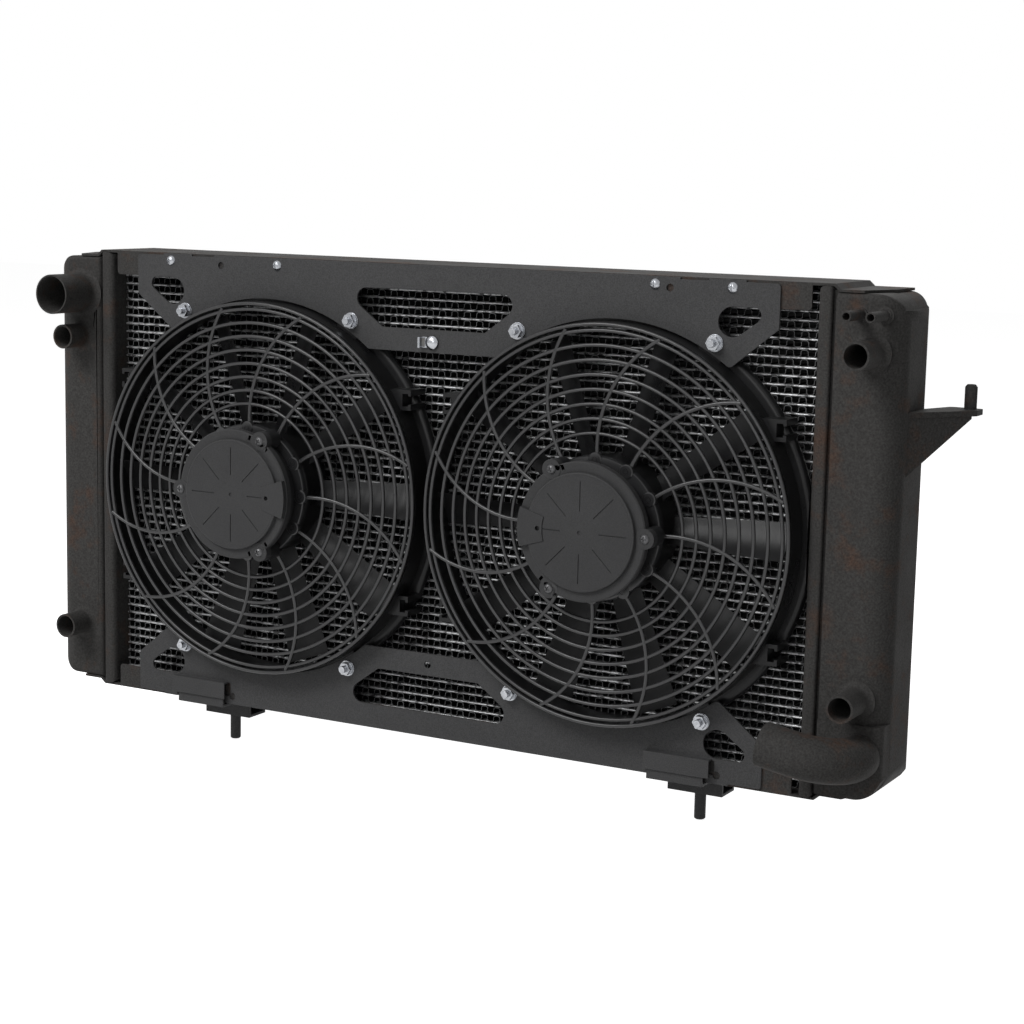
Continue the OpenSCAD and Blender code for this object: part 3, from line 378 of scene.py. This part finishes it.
def newTree(name, inputs):
    tree = bpy.data.node_groups.new(name, "GeometryNodeTree")
    sockets = {}
    tree.interface.new_socket("Geometry", in_out="INPUT", socket_type="NodeSocketGeometry")
    for label, (kind, value) in inputs.items():
        socket = tree.interface.new_socket(label, in_out="INPUT", socket_type=kind)
        if value is not None:
            socket.default_value = value
        sockets[label] = socket.identifier
    tree.interface.new_socket("Geometry", in_out="OUTPUT", socket_type="NodeSocketGeometry")
    start = tree.nodes.new("NodeGroupInput")
    end = tree.nodes.new("NodeGroupOutput")
    return tree, start, end, sockets


def closeTree(tree, geometry, start, end):
    real = addNode(tree, "GeometryNodeRealizeInstances", None, Geometry=geometry).outputs[0]
    coat = addNode(tree, "GeometryNodeSetMaterial", None, Geometry=real,
                   Material=start.outputs["Material"]).outputs[0]
    tree.links.new(coat, end.inputs[0])


def runTree(obj, tree, sockets, values):
    step = obj.modifiers.new(tree.name, "NODES")
    step.node_group = tree
    for label, value in values.items():
        step[sockets[label]] = value
    return settle(obj)


def rowTree():
    # Copies the piece in a straight row
    tree, start, end, sockets = newTree("rowOfCopies", {
        "Count": ("NodeSocketInt", 2), "Step": ("NodeSocketVector", None),
        "Material": ("NodeSocketMaterial", None)})
    line = addNode(tree, "GeometryNodeMeshLine", dict(mode="OFFSET"), Count=start.outputs["Count"],
                   Offset=start.outputs["Step"]).outputs[0]
    copies = addNode(tree, "GeometryNodeInstanceOnPoints", None, Points=line,
                     Instance=start.outputs["Geometry"]).outputs[0]
    closeTree(tree, copies, start, end)
    return tree, sockets


def ringTree():
    # Copies the piece round the Y axis
    tree, start, end, sockets = newTree("ringOfCopies", {
        "Count": ("NodeSocketInt", 2), "Phase": ("NodeSocketFloat", 0.0),
        "Material": ("NodeSocketMaterial", None)})
    line = addNode(tree, "GeometryNodeMeshLine", dict(mode="OFFSET"), Count=start.outputs["Count"],
                   Offset=(0, 0, 0)).outputs[0]
    index = addNode(tree, "GeometryNodeInputIndex").outputs[0]
    share = addNode(tree, "ShaderNodeMath", dict(operation="DIVIDE"), s0=index,
                    s1=start.outputs["Count"]).outputs[0]
    turn = addNode(tree, "ShaderNodeMath", dict(operation="MULTIPLY_ADD"), s0=share, s1=2 * math.pi,
                   s2=start.outputs["Phase"]).outputs[0]
    angles = addNode(tree, "ShaderNodeCombineXYZ", None, Y=turn).outputs[0]
    copies = addNode(tree, "GeometryNodeInstanceOnPoints", None, Points=line,
                     Instance=start.outputs["Geometry"], Rotation=angles).outputs[0]
    closeTree(tree, copies, start, end)
    return tree, sockets


def hoopTree():
    # Round bars bent into rings about Y, each nearer the axis and further forward than the last
    tree, start, end, sockets = newTree("guardHoops", {
        "Count": ("NodeSocketInt", 9), "First Radius": ("NodeSocketFloat", 0.155),
        "Radius Step": ("NodeSocketFloat", 0.0115), "Front": ("NodeSocketFloat", -0.018),
        "Rise": ("NodeSocketFloat", 0.075), "Bar": ("NodeSocketFloat", 0.0014),
        "Material": ("NodeSocketMaterial", None)})
    line = addNode(tree, "GeometryNodeMeshLine", dict(mode="OFFSET"), Count=start.outputs["Count"],
                   Offset=(0, 0, 0)).outputs[0]
    index = addNode(tree, "GeometryNodeInputIndex").outputs[0]
    inward = addNode(tree, "ShaderNodeMath", dict(operation="MULTIPLY"), s0=index,
                     s1=start.outputs["Radius Step"]).outputs[0]
    radius = addNode(tree, "ShaderNodeMath", dict(operation="SUBTRACT"), s0=start.outputs["First Radius"],
                     s1=inward).outputs[0]
    forward = addNode(tree, "ShaderNodeMath", dict(operation="MULTIPLY"), s0=inward,
                      s1=start.outputs["Rise"]).outputs[0]
    height = addNode(tree, "ShaderNodeMath", dict(operation="SUBTRACT"), s0=start.outputs["Front"],
                     s1=forward).outputs[0]
    place = addNode(tree, "ShaderNodeCombineXYZ", None, Y=height).outputs[0]
    stack = addNode(tree, "GeometryNodeSetPosition", None, Geometry=line, Position=place).outputs[0]
    size = addNode(tree, "ShaderNodeCombineXYZ", None, X=radius, Y=radius, Z=1.0).outputs[0]
    circle = addNode(tree, "GeometryNodeCurvePrimitiveCircle", None, Resolution=facets["ring"],
                     Radius=1.0).outputs[0]
    hoops = addNode(tree, "GeometryNodeInstanceOnPoints", None, Points=stack, Instance=circle,
                    Rotation=(math.pi / 2, 0, 0), Scale=size).outputs[0]
    loose = addNode(tree, "GeometryNodeRealizeInstances", None, Geometry=hoops).outputs[0]
    section = addNode(tree, "GeometryNodeCurvePrimitiveCircle", None, Resolution=facets["hoopBar"],
                      Radius=start.outputs["Bar"]).outputs[0]
    bars = addNode(tree, "GeometryNodeCurveToMesh", None, Curve=loose, Profile_Curve=section).outputs[0]
    closeTree(tree, bars, start, end)
    return tree, sockets


rowOfCopies, rowSockets = rowTree()
ringOfCopies, ringSockets = ringTree()
guardHoops, hoopSockets = hoopTree()


finPack = dict(cell=5.9, height=5.3, sheet=0.32, corner=1.2, rows=55, pitch=7.2, firstRow=2.7, inset=0.4)


def makeFins(s):
    # One folded strip between two tubes, copied up the core
    low, high = finLow.x / mm + s["inset"], finHigh.x / mm - s["inset"]
    cells = int((high - low) / s["cell"])
    wide = (high - low) / cells
    half = s["height"] / 2 - s["sheet"] / 2
    path = []
    for k in range(cells + 1):
        x = low + k * wide
        sign = 1 if k % 2 else -1
        if k > 0:
            path.append((x - s["corner"], -sign * half))
        path += [(x, -sign * (half - s["corner"])), (x, sign * (half - s["corner"]))]
        if k < cells:
            path.append((x + s["corner"], sign * half))
    points, faces = [], []
    y0, y1 = finLow.y, finHigh.y
    for i, (x, z) in enumerate(path):
        x0, z0 = path[max(i - 1, 0)]
        x1, z1 = path[min(i + 1, len(path) - 1)]
        run = Vector((x1 - x0, 0, z1 - z0)).normalized()
        side = Vector((-run.z, 0, run.x)) * s["sheet"] / 2
        here = Vector((x, 0, z))
        for p in (here + side, here - side):
            for y in (y0, y1):
                points.append((p.x * mm, y, p.z * mm))
    for i in range(len(path) - 1):
        a, b = 4 * i, 4 * i + 4
        for p, q in ((0, 1), (1, 3), (3, 2), (2, 0)):
            faces.append((a + p, a + q, b + q, b + p))
    faces += [(0, 1, 3, 2), (len(points) - 4, len(points) - 2, len(points) - 1, len(points) - 3)]
    strip = meshFrom("finStrips", points, faces)
    outward(strip)
    shifted(strip, Vector((0, 0, finLow.z + s["firstRow"] * mm)))
    runTree(strip, rowOfCopies, rowSockets, {
        "Count": s["rows"], "Step": (0, 0, s["pitch"] * mm), "Material": materials["fin_metal"]})
    done(strip, "radiator", "fin_metal", "core_fins", smooth=40)
    print("fin strips:", len(strip.data.polygons), "faces")


makeFins(finPack)

headerRims = dict(coreSide=5.4, tankSide=2.4, pick=4.0)


def makeHeader(side, s):
    node = "header_" + side
    low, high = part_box(node)
    inner = low.x if side == "right" else high.x      # the side that faces the core
    outer = high.x if side == "right" else low.x
    skin = lambda p: min(abs(p.y - low.y), abs(p.y - high.y), abs(p.z - low.z), abs(p.z - high.z)) < hair
    nearCore = lambda p: skin(p) and abs(p.x - inner) < s["pick"] * mm
    nearTank = lambda p: skin(p) and abs(p.x - outer) < s["pick"] * mm
    rim = softened(node, side + "HeaderRim", 0, 2, [(nearCore, s["coreSide"], 5), (nearTank, s["tankSide"], 3)])
    return done(rim, "radiator", "tank_paint", node)


tanks = dict(edge=0.6, endRound=8.5, neck=11.0, slack=0.3)


def makeTank(side, s):
    # The mitred edges at the two ends, from the neck to the outer face, are rounded
    node = "tank_" + side
    low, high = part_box(node)
    mouth = low.x if side == "right" else high.x
    skin = [v.co for v in frame["nodes"][node].data.vertices if abs(v.co.x - mouth) > s["neck"] * mm]
    topSkin, lowSkin = max(p.z for p in skin), min(p.z for p in skin)
    endSkin = [p.y for p in skin if p.z > topSkin - hair]
    frontSkin, rearSkin = min(endSkin), max(endSkin)

    def onMitre(p):
        across = min(p.y - frontSkin, rearSkin - p.y)
        along = min(topSkin - p.z, p.z - lowSkin)
        byPad = side == "right" and p.z < coreZ and p.y < (low.y + high.y) / 2     # the outlet's pad lies there
        pastNeck = abs(p.x - mouth) > (s["neck"] - s["slack"]) * mm
        return pastNeck and not byPad and abs(across - along) < 1.2 * hair

    body = softened(node, side + "Tank", s["edge"], 2, [(onMitre, s["endRound"], 5)])
    return done(body, "radiator", "tank_paint", node)


for side in ("left", "right"):
    makeHeader(side, headerRims)
    makeTank(side, tanks)

sheetParts = {
    "top_rail": ("topRail", 0.7, "tank_paint"), "bottom_rail": ("bottomRail", 0.7, "tank_paint"),
    "side_bracket": ("sideBracket", 0.8, "tank_paint"), "side_stud": ("sideStud", 0.5, "tank_paint"),
    "peg_bracket_left": ("leftPegBracket", 0.8, "plate_powder"),
    "peg_bracket_right": ("rightPegBracket", 0.8, "plate_powder"),
    "lower_peg_left": ("leftPeg", 0.4, "plate_powder"), "lower_peg_right": ("rightPeg", 0.4, "plate_powder"),
    "upper_fan_plate": ("upperFanPlate", 0.45, "plate_powder"),
    "lower_fan_plate": ("lowerFanPlate", 0.45, "plate_powder"),
    "inlet_pipe": ("inletPipe", 0.5, "tank_paint"), "vent_nipples": ("ventNipples", 0.4, "tank_paint"),
    "outlet_elbow": ("outletElbow", 0.5, "tank_paint"), "oil_cooler_left": ("leftOilCooler", 0.5, "tank_paint"),
    "oil_cooler_right": ("rightOilCooler", 0.5, "tank_paint"), "cable_clip": ("cableClip", 0.4, "bright_zinc"),
    "fan_nuts": ("fanNuts", 0.45, "bright_zinc"), "fan_bolts": ("fanBolts", 0.35, "bright_zinc"),
    "plate_screws": ("plateScrews", 0.25, "bright_zinc"), "fan_washers": ("fanWashers", 0.2, "bright_zinc"),
    "plate_nuts": ("plateNuts", 0.3, "bright_zinc"),
}
for node, (name, width, slot) in sheetParts.items():
    done(softened(node, name, width), "radiator", slot, node)

clipTab = dict(wide=7.0, thick=0.8,
               path=[(0.0, -0.5), (3.0, -0.5), (5.0, -0.9), (6.8, -1.8), (8.0, -3.0), (9.0, -4.2)])


def makeClipTab(s):
    # The clip's strip runs to the left of its button and curls off the plate
    low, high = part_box("cable_clip")
    middle = (low.z + high.z) / 2
    right = (low.x + high.x) / 2
    points, faces = [], []
    for x, y in s["path"]:
        for z in (-s["wide"] / 2, s["wide"] / 2):
            for t in (0.0, -s["thick"]):
                points.append((right - x * mm, frontY + (y + t) * mm, middle + z * mm))
    for i in range(len(s["path"]) - 1):
        a, b = 4 * i, 4 * i + 4
        for p, q in ((0, 1), (1, 3), (3, 2), (2, 0)):
            faces.append((a + p, a + q, b + q, b + p))
    faces += [(0, 1, 3, 2), (len(points) - 4, len(points) - 2, len(points) - 1, len(points) - 3)]
    tab = meshFrom("clipTab", points, faces)
    outward(tab)
    return done(tab, "radiator", "stud_steel", smooth=50)


makeClipTab(clipTab)
print("core, tanks, rails and plates made")


weldBeads = dict(
    inlet=dict(radius=17.5, reach=5.2, height=5.2, steps=6),
    port=dict(radius=10.8, gap=264.5, reach=5.2, height=5.2, steps=6),
    nipple=dict(radius=4.0, gap=18.7, reach=2.8, height=2.8, steps=5))
weldClearance = dict(pipe=0.05, wall=0.02, seat=1.0)


def makeWeld(name, x, z, s):
    # A hollow fillet between a pipe and the tank wall
    c = weldClearance
    inner = s["radius"] + c["pipe"]
    profile = [(inner, -s["height"])]
    for k in range(1, s["steps"] + 1):
        a = math.pi / 2 * k / s["steps"]
        profile.append((inner + s["reach"] * (1 - math.cos(a)), -s["height"] * (1 - math.sin(a)) - c["wall"]))
    profile.append((inner, -c["wall"]))
    profile.append(profile[0])
    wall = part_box("header_left")[0].y + c["seat"] * mm
    weld = shifted(turned(name, profile, facets["pipe"]), Vector((x, wall, z)))
    return done(weld, "radiator", "tank_paint", smooth=60)


def pipeCentre(node):
    low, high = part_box(node)
    return (low.x + high.x) / 2, (low.z + high.z) / 2


def makeWelds(s):
    x, z = pipeCentre("inlet_pipe")
    makeWeld("inletWeld", x, z, s["inlet"])
    for side in ("left", "right"):
        x, z = pipeCentre("oil_cooler_" + side)
        for k, sign in enumerate((-1, 1)):
            makeWeld("%sPortWeld%d" % (side, k + 1), x, z + sign * s["port"]["gap"] / 2 * mm, s["port"])
    x, z = pipeCentre("vent_nipples")
    for k, sign in enumerate((-1, 1)):
        makeWeld("nippleWeld%d" % (k + 1), x + sign * s["nipple"]["gap"] / 2 * mm, z, s["nipple"])


makeWelds(weldBeads)
print("weld fillets made")

# Outlines are (distance from the shaft, y), with y from the plates' front face and minus towards the front
guard = dict(
    rings=9, firstRadius=155.5, ringStep=11.5, barRadius=1.6, barBack=1.6, rimFront=18.5, slope=0.075,
    spokes=12, spokeArc=95, spokeLean=0.72, spokeFrom=53.5, spokeTo=160, spokeBar=1.7, spokeBack=1.2,
    spokeTurn=118, spokeSteps=28,
    rim=162, rimBar=(1.6, 1.8), rimIn=1.7, rimY=-17.6, earsAt=54.7,
    hubProfile=[(43, -21.2), (43, -27.6), (44, -28.4), (50, -28.4), (57, -27.8), (58, -26.6),
                (58, -21.6), (57.4, -21.0), (43, -21.0), (43, -21.2)],
    earProfile=[(0, -28.9), (1.9, -28.9), (2.0, -28.0), (2.2, -28.9), (5.2, -28.9), (5.9, -28.2),
                (6, -24), (0, -24)])


def guardFront(r):
    return -guard["rimFront"] - guard["slope"] * (guard["rim"] - r)


def makeGuard(side, s):
    at, turn = fanPlace[side], fanTurn[side]
    hoops = meshFrom(side + "GuardRings", [(0, 0, 0)], [])
    runTree(hoops, guardHoops, hoopSockets, {
        "Count": s["rings"] - 1, "First Radius": s["firstRadius"] * mm, "Radius Step": s["ringStep"] * mm,
        "Front": (guardFront(s["firstRadius"]) + s["barBack"]) * mm, "Rise": s["slope"],
        "Bar": s["barRadius"] * mm, "Material": materials["fan_plastic"]})
    shifted(hoops, at, turn)
    done(hoops, "radiator", "fan_plastic", smooth=60)
    path = []
    arc, lean = s["spokeArc"], s["spokeArc"] * s["spokeLean"]
    for k in range(s["spokeSteps"] + 1):
        a = math.radians(s["spokeTurn"] - k * s["spokeTurn"] / s["spokeSteps"])
        x, z = lean + arc * math.cos(a), -arc + arc * math.sin(a)
        r = math.hypot(x, z)
        if s["spokeFrom"] <= r <= s["spokeTo"]:
            path.append(Vector((x * mm, (guardFront(r) + s["spokeBack"]) * mm, z * mm)))
    spoke = sweptTube(side + "GuardSpokes", path, s["spokeBar"] * mm, facets["spokeBar"])
    runTree(spoke, ringOfCopies, ringSockets,
            {"Count": s["spokes"], "Phase": 0.0, "Material": materials["fan_plastic"]})
    shifted(spoke, at, turn)
    done(spoke, "radiator", "fan_plastic", smooth=60)
    wide, deep = s["rimBar"]
    section = []
    for k in range(facets["section"] + 1):
        a = 2 * math.pi * k / facets["section"]
        section.append((s["rim"] - s["rimIn"] + wide * math.cos(a), s["rimY"] + deep * math.sin(a)))
    rim = turned(side + "GuardRim", section, facets["ring"])
    shifted(rim, at, turn)
    done(rim, "radiator", "fan_plastic", smooth=60)
    hub = turned(side + "GuardHub", s["hubProfile"], facets["hub"])
    shifted(hub, at, turn)
    done(hub, "radiator", "fan_plastic", side + "_fan_guard", smooth=40)
    ear = turned(side + "GuardEars", s["earProfile"], facets["ear"])
    shifted(ear, Vector((s["earsAt"] * mm, 0, 0)))
    runTree(ear, ringOfCopies, ringSockets,
            {"Count": s["spokes"], "Phase": 0.0, "Material": materials["fan_plastic"]})
    shifted(ear, at, turn)
    done(ear, "radiator", "fan_plastic", smooth=40)


blades = dict(
    count=10, pitch=34, rootChord=24, tipChord=34, hubRadius=55, tipRadius=152.8, thick=2.0, edge=0.25,
    camber=2.6, back=1.3, across=10, along=12,
    hubProfile=[(4.1, 14), (4.1, 5), (10, 5), (10, 11), (51, 11), (53, 9), (53, -18.4), (53.6, -19),
                (55.4, -19), (56, -18.4), (56, 11.5), (53.5, 14), (4.1, 14)])


def makeImpeller(side, s):
    at, turn = fanPlace[side], fanTurn[side]
    grid = []
    lean = math.radians(-s["pitch"])
    for i in range(s["along"] + 1):
        t = i / s["along"]
        r = s["hubRadius"] + t * (s["tipRadius"] - s["hubRadius"])
        chord = s["rootChord"] + t * (s["tipChord"] - s["rootChord"])
        row = []
        for j in range(s["across"] + 1):
            u = j / s["across"] - 0.5
            bow = s["camber"] * (1 - 4 * u * u)
            width = s["thick"] * (s["edge"] + (1 - s["edge"]) * math.sqrt(max(0.0, 1 - 4 * u * u)))
            row.append((r, u * chord, bow, width))
        grid.append(row)
    points, faces = [], []
    for face in (1, -1):
        for row in grid:
            for r, c, bow, width in row:
                y, z = bow + face * width / 2 - s["back"], c
                y2, z2 = y * math.cos(lean) - z * math.sin(lean), y * math.sin(lean) + z * math.cos(lean)
                points.append((r * mm, y2 * mm, z2 * mm))
    n, m = s["along"] + 1, s["across"] + 1
    for f in (0, 1):
        for i in range(n - 1):
            for j in range(m - 1):
                a = f * n * m + i * m + j
                faces.append((a, a + 1, a + m + 1, a + m))
    for i in range(n - 1):
        for j in (0, m - 1):
            a = i * m + j
            faces.append((a, a + m, a + m + n * m, a + n * m))
    for j in range(m - 1):
        for i in (0, n - 1):
            a = i * m + j
            faces.append((a, a + 1, a + 1 + n * m, a + n * m))
    blade = meshFrom(side + "Blades", points, faces)
    outward(blade)
    runTree(blade, ringOfCopies, ringSockets,
            {"Count": s["count"], "Phase": 0.0, "Material": materials["fan_plastic"]})
    shifted(blade, at, turn)
    done(blade, side + "_rotor", "fan_plastic", smooth=50)
    hub = turned(side + "Hub", s["hubProfile"], facets["hub"])
    shifted(hub, at, turn)
    done(hub, side + "_rotor", "fan_plastic", side + "_impeller", smooth=40)


motorCover = dict(
    screwEdge=0.25, grooves=8, grooveInner=17, grooveOuter=40.5, grooveWidth=0.9, grooveDepth=0.7,
    face=-52.0, edge=0.4, beadRadius=45.75, beadWide=1.3, beadHigh=0.6, beadY=-51.4,
    beadStart=(44.4, -51.9), beadFoot=[(47.05, -51.0), (44.4, -51.0)])


def grooveCutter(s):
    # Narrow bars round the axis that cut the radial lines into the cover's face
    w, y0, y1 = s["grooveWidth"] / 2, s["face"] - 1.0, s["face"] + s["grooveDepth"]
    corners = [(x * mm, y * mm, z * mm)
               for x in (s["grooveInner"], s["grooveOuter"]) for y in (y0, y1) for z in (-w, w)]
    bar = meshFrom("grooveBars", corners,
                   [(0, 1, 3, 2), (4, 6, 7, 5), (0, 4, 5, 1), (2, 3, 7, 6), (0, 2, 6, 4), (1, 5, 7, 3)])
    outward(bar)
    return runTree(bar, ringOfCopies, ringSockets,
                   {"Count": s["grooves"], "Phase": 0.0, "Material": materials["cover_plastic"]})


def makeMotorCover(side, s):
    at, turn = fanPlace[side], fanTurn[side]
    cutter = shifted(grooveCutter(s), at, turn)
    body = softened(side + "_motor_cover", side + "MotorCover", s["edge"], cutter=cutter)
    done(body, "radiator", "cover_plastic", side + "_motor_cover")
    profile = [s["beadStart"]]
    for k in range(facets["bead"] + 1):
        a = math.pi - math.pi * k / facets["bead"]
        profile.append((s["beadRadius"] + s["beadWide"] * math.cos(a),
                        s["beadY"] - s["beadHigh"] * math.sin(a)))
    profile += s["beadFoot"] + [profile[0]]
    bead = turned(side + "CoverBead", profile, facets["hub"])
    shifted(bead, at, turn)
    done(bead, "radiator", "cover_plastic", smooth=60)
    done(softened(side + "_connector_cover", side + "ConnectorCover", s["edge"]), "radiator", "cover_plastic",
         side + "_connector_cover")
    done(softened(side + "_cover_screws", side + "CoverScrews", s["screwEdge"]), "radiator", "dark_screw",
         side + "_cover_screws")


for side in ("left", "right"):
    done(softened(side + "_fan_housing", side + "FanHousing", 0.7), "radiator", "fan_plastic",
         side + "_fan_housing")
    makeGuard(side, guard)
    makeImpeller(side, blades)
    makeMotorCover(side, motorCover)
    print(side, "fan made")


# floorSize and gap in m, key, fill and rim in watts
studio = dict(floorSize=14.0, gap=0.0006, floorGlow=0.90, worldLight=0.10, key=60.0, fill=11.0, rim=18.0)


def whereSeen(tree):
    # 1 where the camera looks, straight or by way of metal or glass, and 0 for the light on the object
    rays = addNode(tree, "ShaderNodeLightPath")
    shown = rays.outputs["Is Camera Ray"]
    for other in ("Is Glossy Ray", "Is Transmission Ray"):
        shown = addNode(tree, "ShaderNodeMath", dict(operation="MAXIMUM"), s0=shown,
                        s1=rays.outputs[other]).outputs[0]
    return shown


def makeFloor(s):
    z = cadBox[0].z - s["gap"]
    h = s["floorSize"] / 2
    floor = meshFrom("floor", [(-h, -h, z), (h, -h, z), (h, h, z), (-h, h, z)], [(0, 1, 2, 3)])
    material = bpy.data.materials.new("studio_floor")
    material.use_nodes = True
    tree = material.node_tree
    tree.nodes.clear()
    glow = addNode(tree, "ShaderNodeMath", dict(operation="MULTIPLY"), s0=whereSeen(tree),
                   s1=s["floorGlow"]).outputs[0]
    matte = addNode(tree, "ShaderNodeBsdfDiffuse", None, Color=(0.8, 0.8, 0.8, 1)).outputs[0]
    light = addNode(tree, "ShaderNodeEmission", None, Color=(1, 1, 1, 1), Strength=glow).outputs[0]
    both = addNode(tree, "ShaderNodeAddShader", None, s0=matte, s1=light).outputs[0]
    out = tree.nodes.new("ShaderNodeOutputMaterial")
    tree.links.new(both, out.inputs[0])
    floor.data.materials.append(material)


def makeWorld(s):
    world = bpy.data.worlds.new("studio")
    bpy.context.scene.world = world
    world.use_nodes = True
    tree = world.node_tree
    tree.nodes.clear()
    plain = addNode(tree, "ShaderNodeBackground", None, Color=(1, 1, 1, 1), Strength=s["worldLight"]).outputs[0]
    white = addNode(tree, "ShaderNodeBackground", None, Color=(1, 1, 1, 1), Strength=1.0).outputs[0]
    both = addNode(tree, "ShaderNodeMixShader", None, s0=whereSeen(tree), s1=plain, s2=white).outputs[0]
    out = tree.nodes.new("ShaderNodeOutputWorld")
    tree.links.new(both, out.inputs[0])


def addLamp(name, place, aim, size, power):
    lamp = bpy.data.lights.new(name, "AREA")
    lamp.shape = "RECTANGLE"
    lamp.size, lamp.size_y = size
    lamp.energy = power
    obj = link(bpy.data.objects.new(name, lamp))
    obj.location = place
    obj.rotation_euler = (Vector(aim) - Vector(place)).to_track_quat("-Z", "Y").to_euler()


def addCamera():
    # Stands in front and to the right, a little above the middle (place in m)
    view = dict(place=(0.9246, -1.5971, 0.4981), lens=76.84, heading=28.66, down=8.91, roll=1.243)
    h, d, r = (math.radians(view[k]) for k in ("heading", "down", "roll"))
    forward = Vector((-math.sin(h) * math.cos(d), math.cos(h) * math.cos(d), -math.sin(d)))
    right = Vector((math.cos(h), math.sin(h), 0))
    up = right.cross(forward)
    right2, up2 = right * math.cos(r) + up * math.sin(r), up * math.cos(r) - right * math.sin(r)
    camera = bpy.data.cameras.new("camera")
    camera.lens, camera.sensor_width = view["lens"], 36
    obj = link(bpy.data.objects.new("camera", camera))
    turn = Matrix((right2, up2, -forward)).transposed().to_4x4()
    obj.matrix_world = Matrix.Translation(view["place"]) @ turn
    bpy.context.scene.camera = obj


makeFloor(studio)
makeWorld(studio)
lamps = dict(      # where each stands, its size and its power
    keyLamp=((-0.8, -2.0, 2.3), (1.6, 1.2), studio["key"]),
    fillLamp=((0.6, -2.8, 1.2), (1.2, 1.2), studio["fill"]),
    rimLamp=((0.3, 1.9, 2.0), (2.0, 1.0), studio["rim"]))
for name, (place, size, power) in lamps.items():
    addLamp(name, place, (0.0, -0.04, 0.2), size, power)
addCamera()
bpy.context.scene.view_settings.view_transform = "Standard"
print("floor, light and camera set")
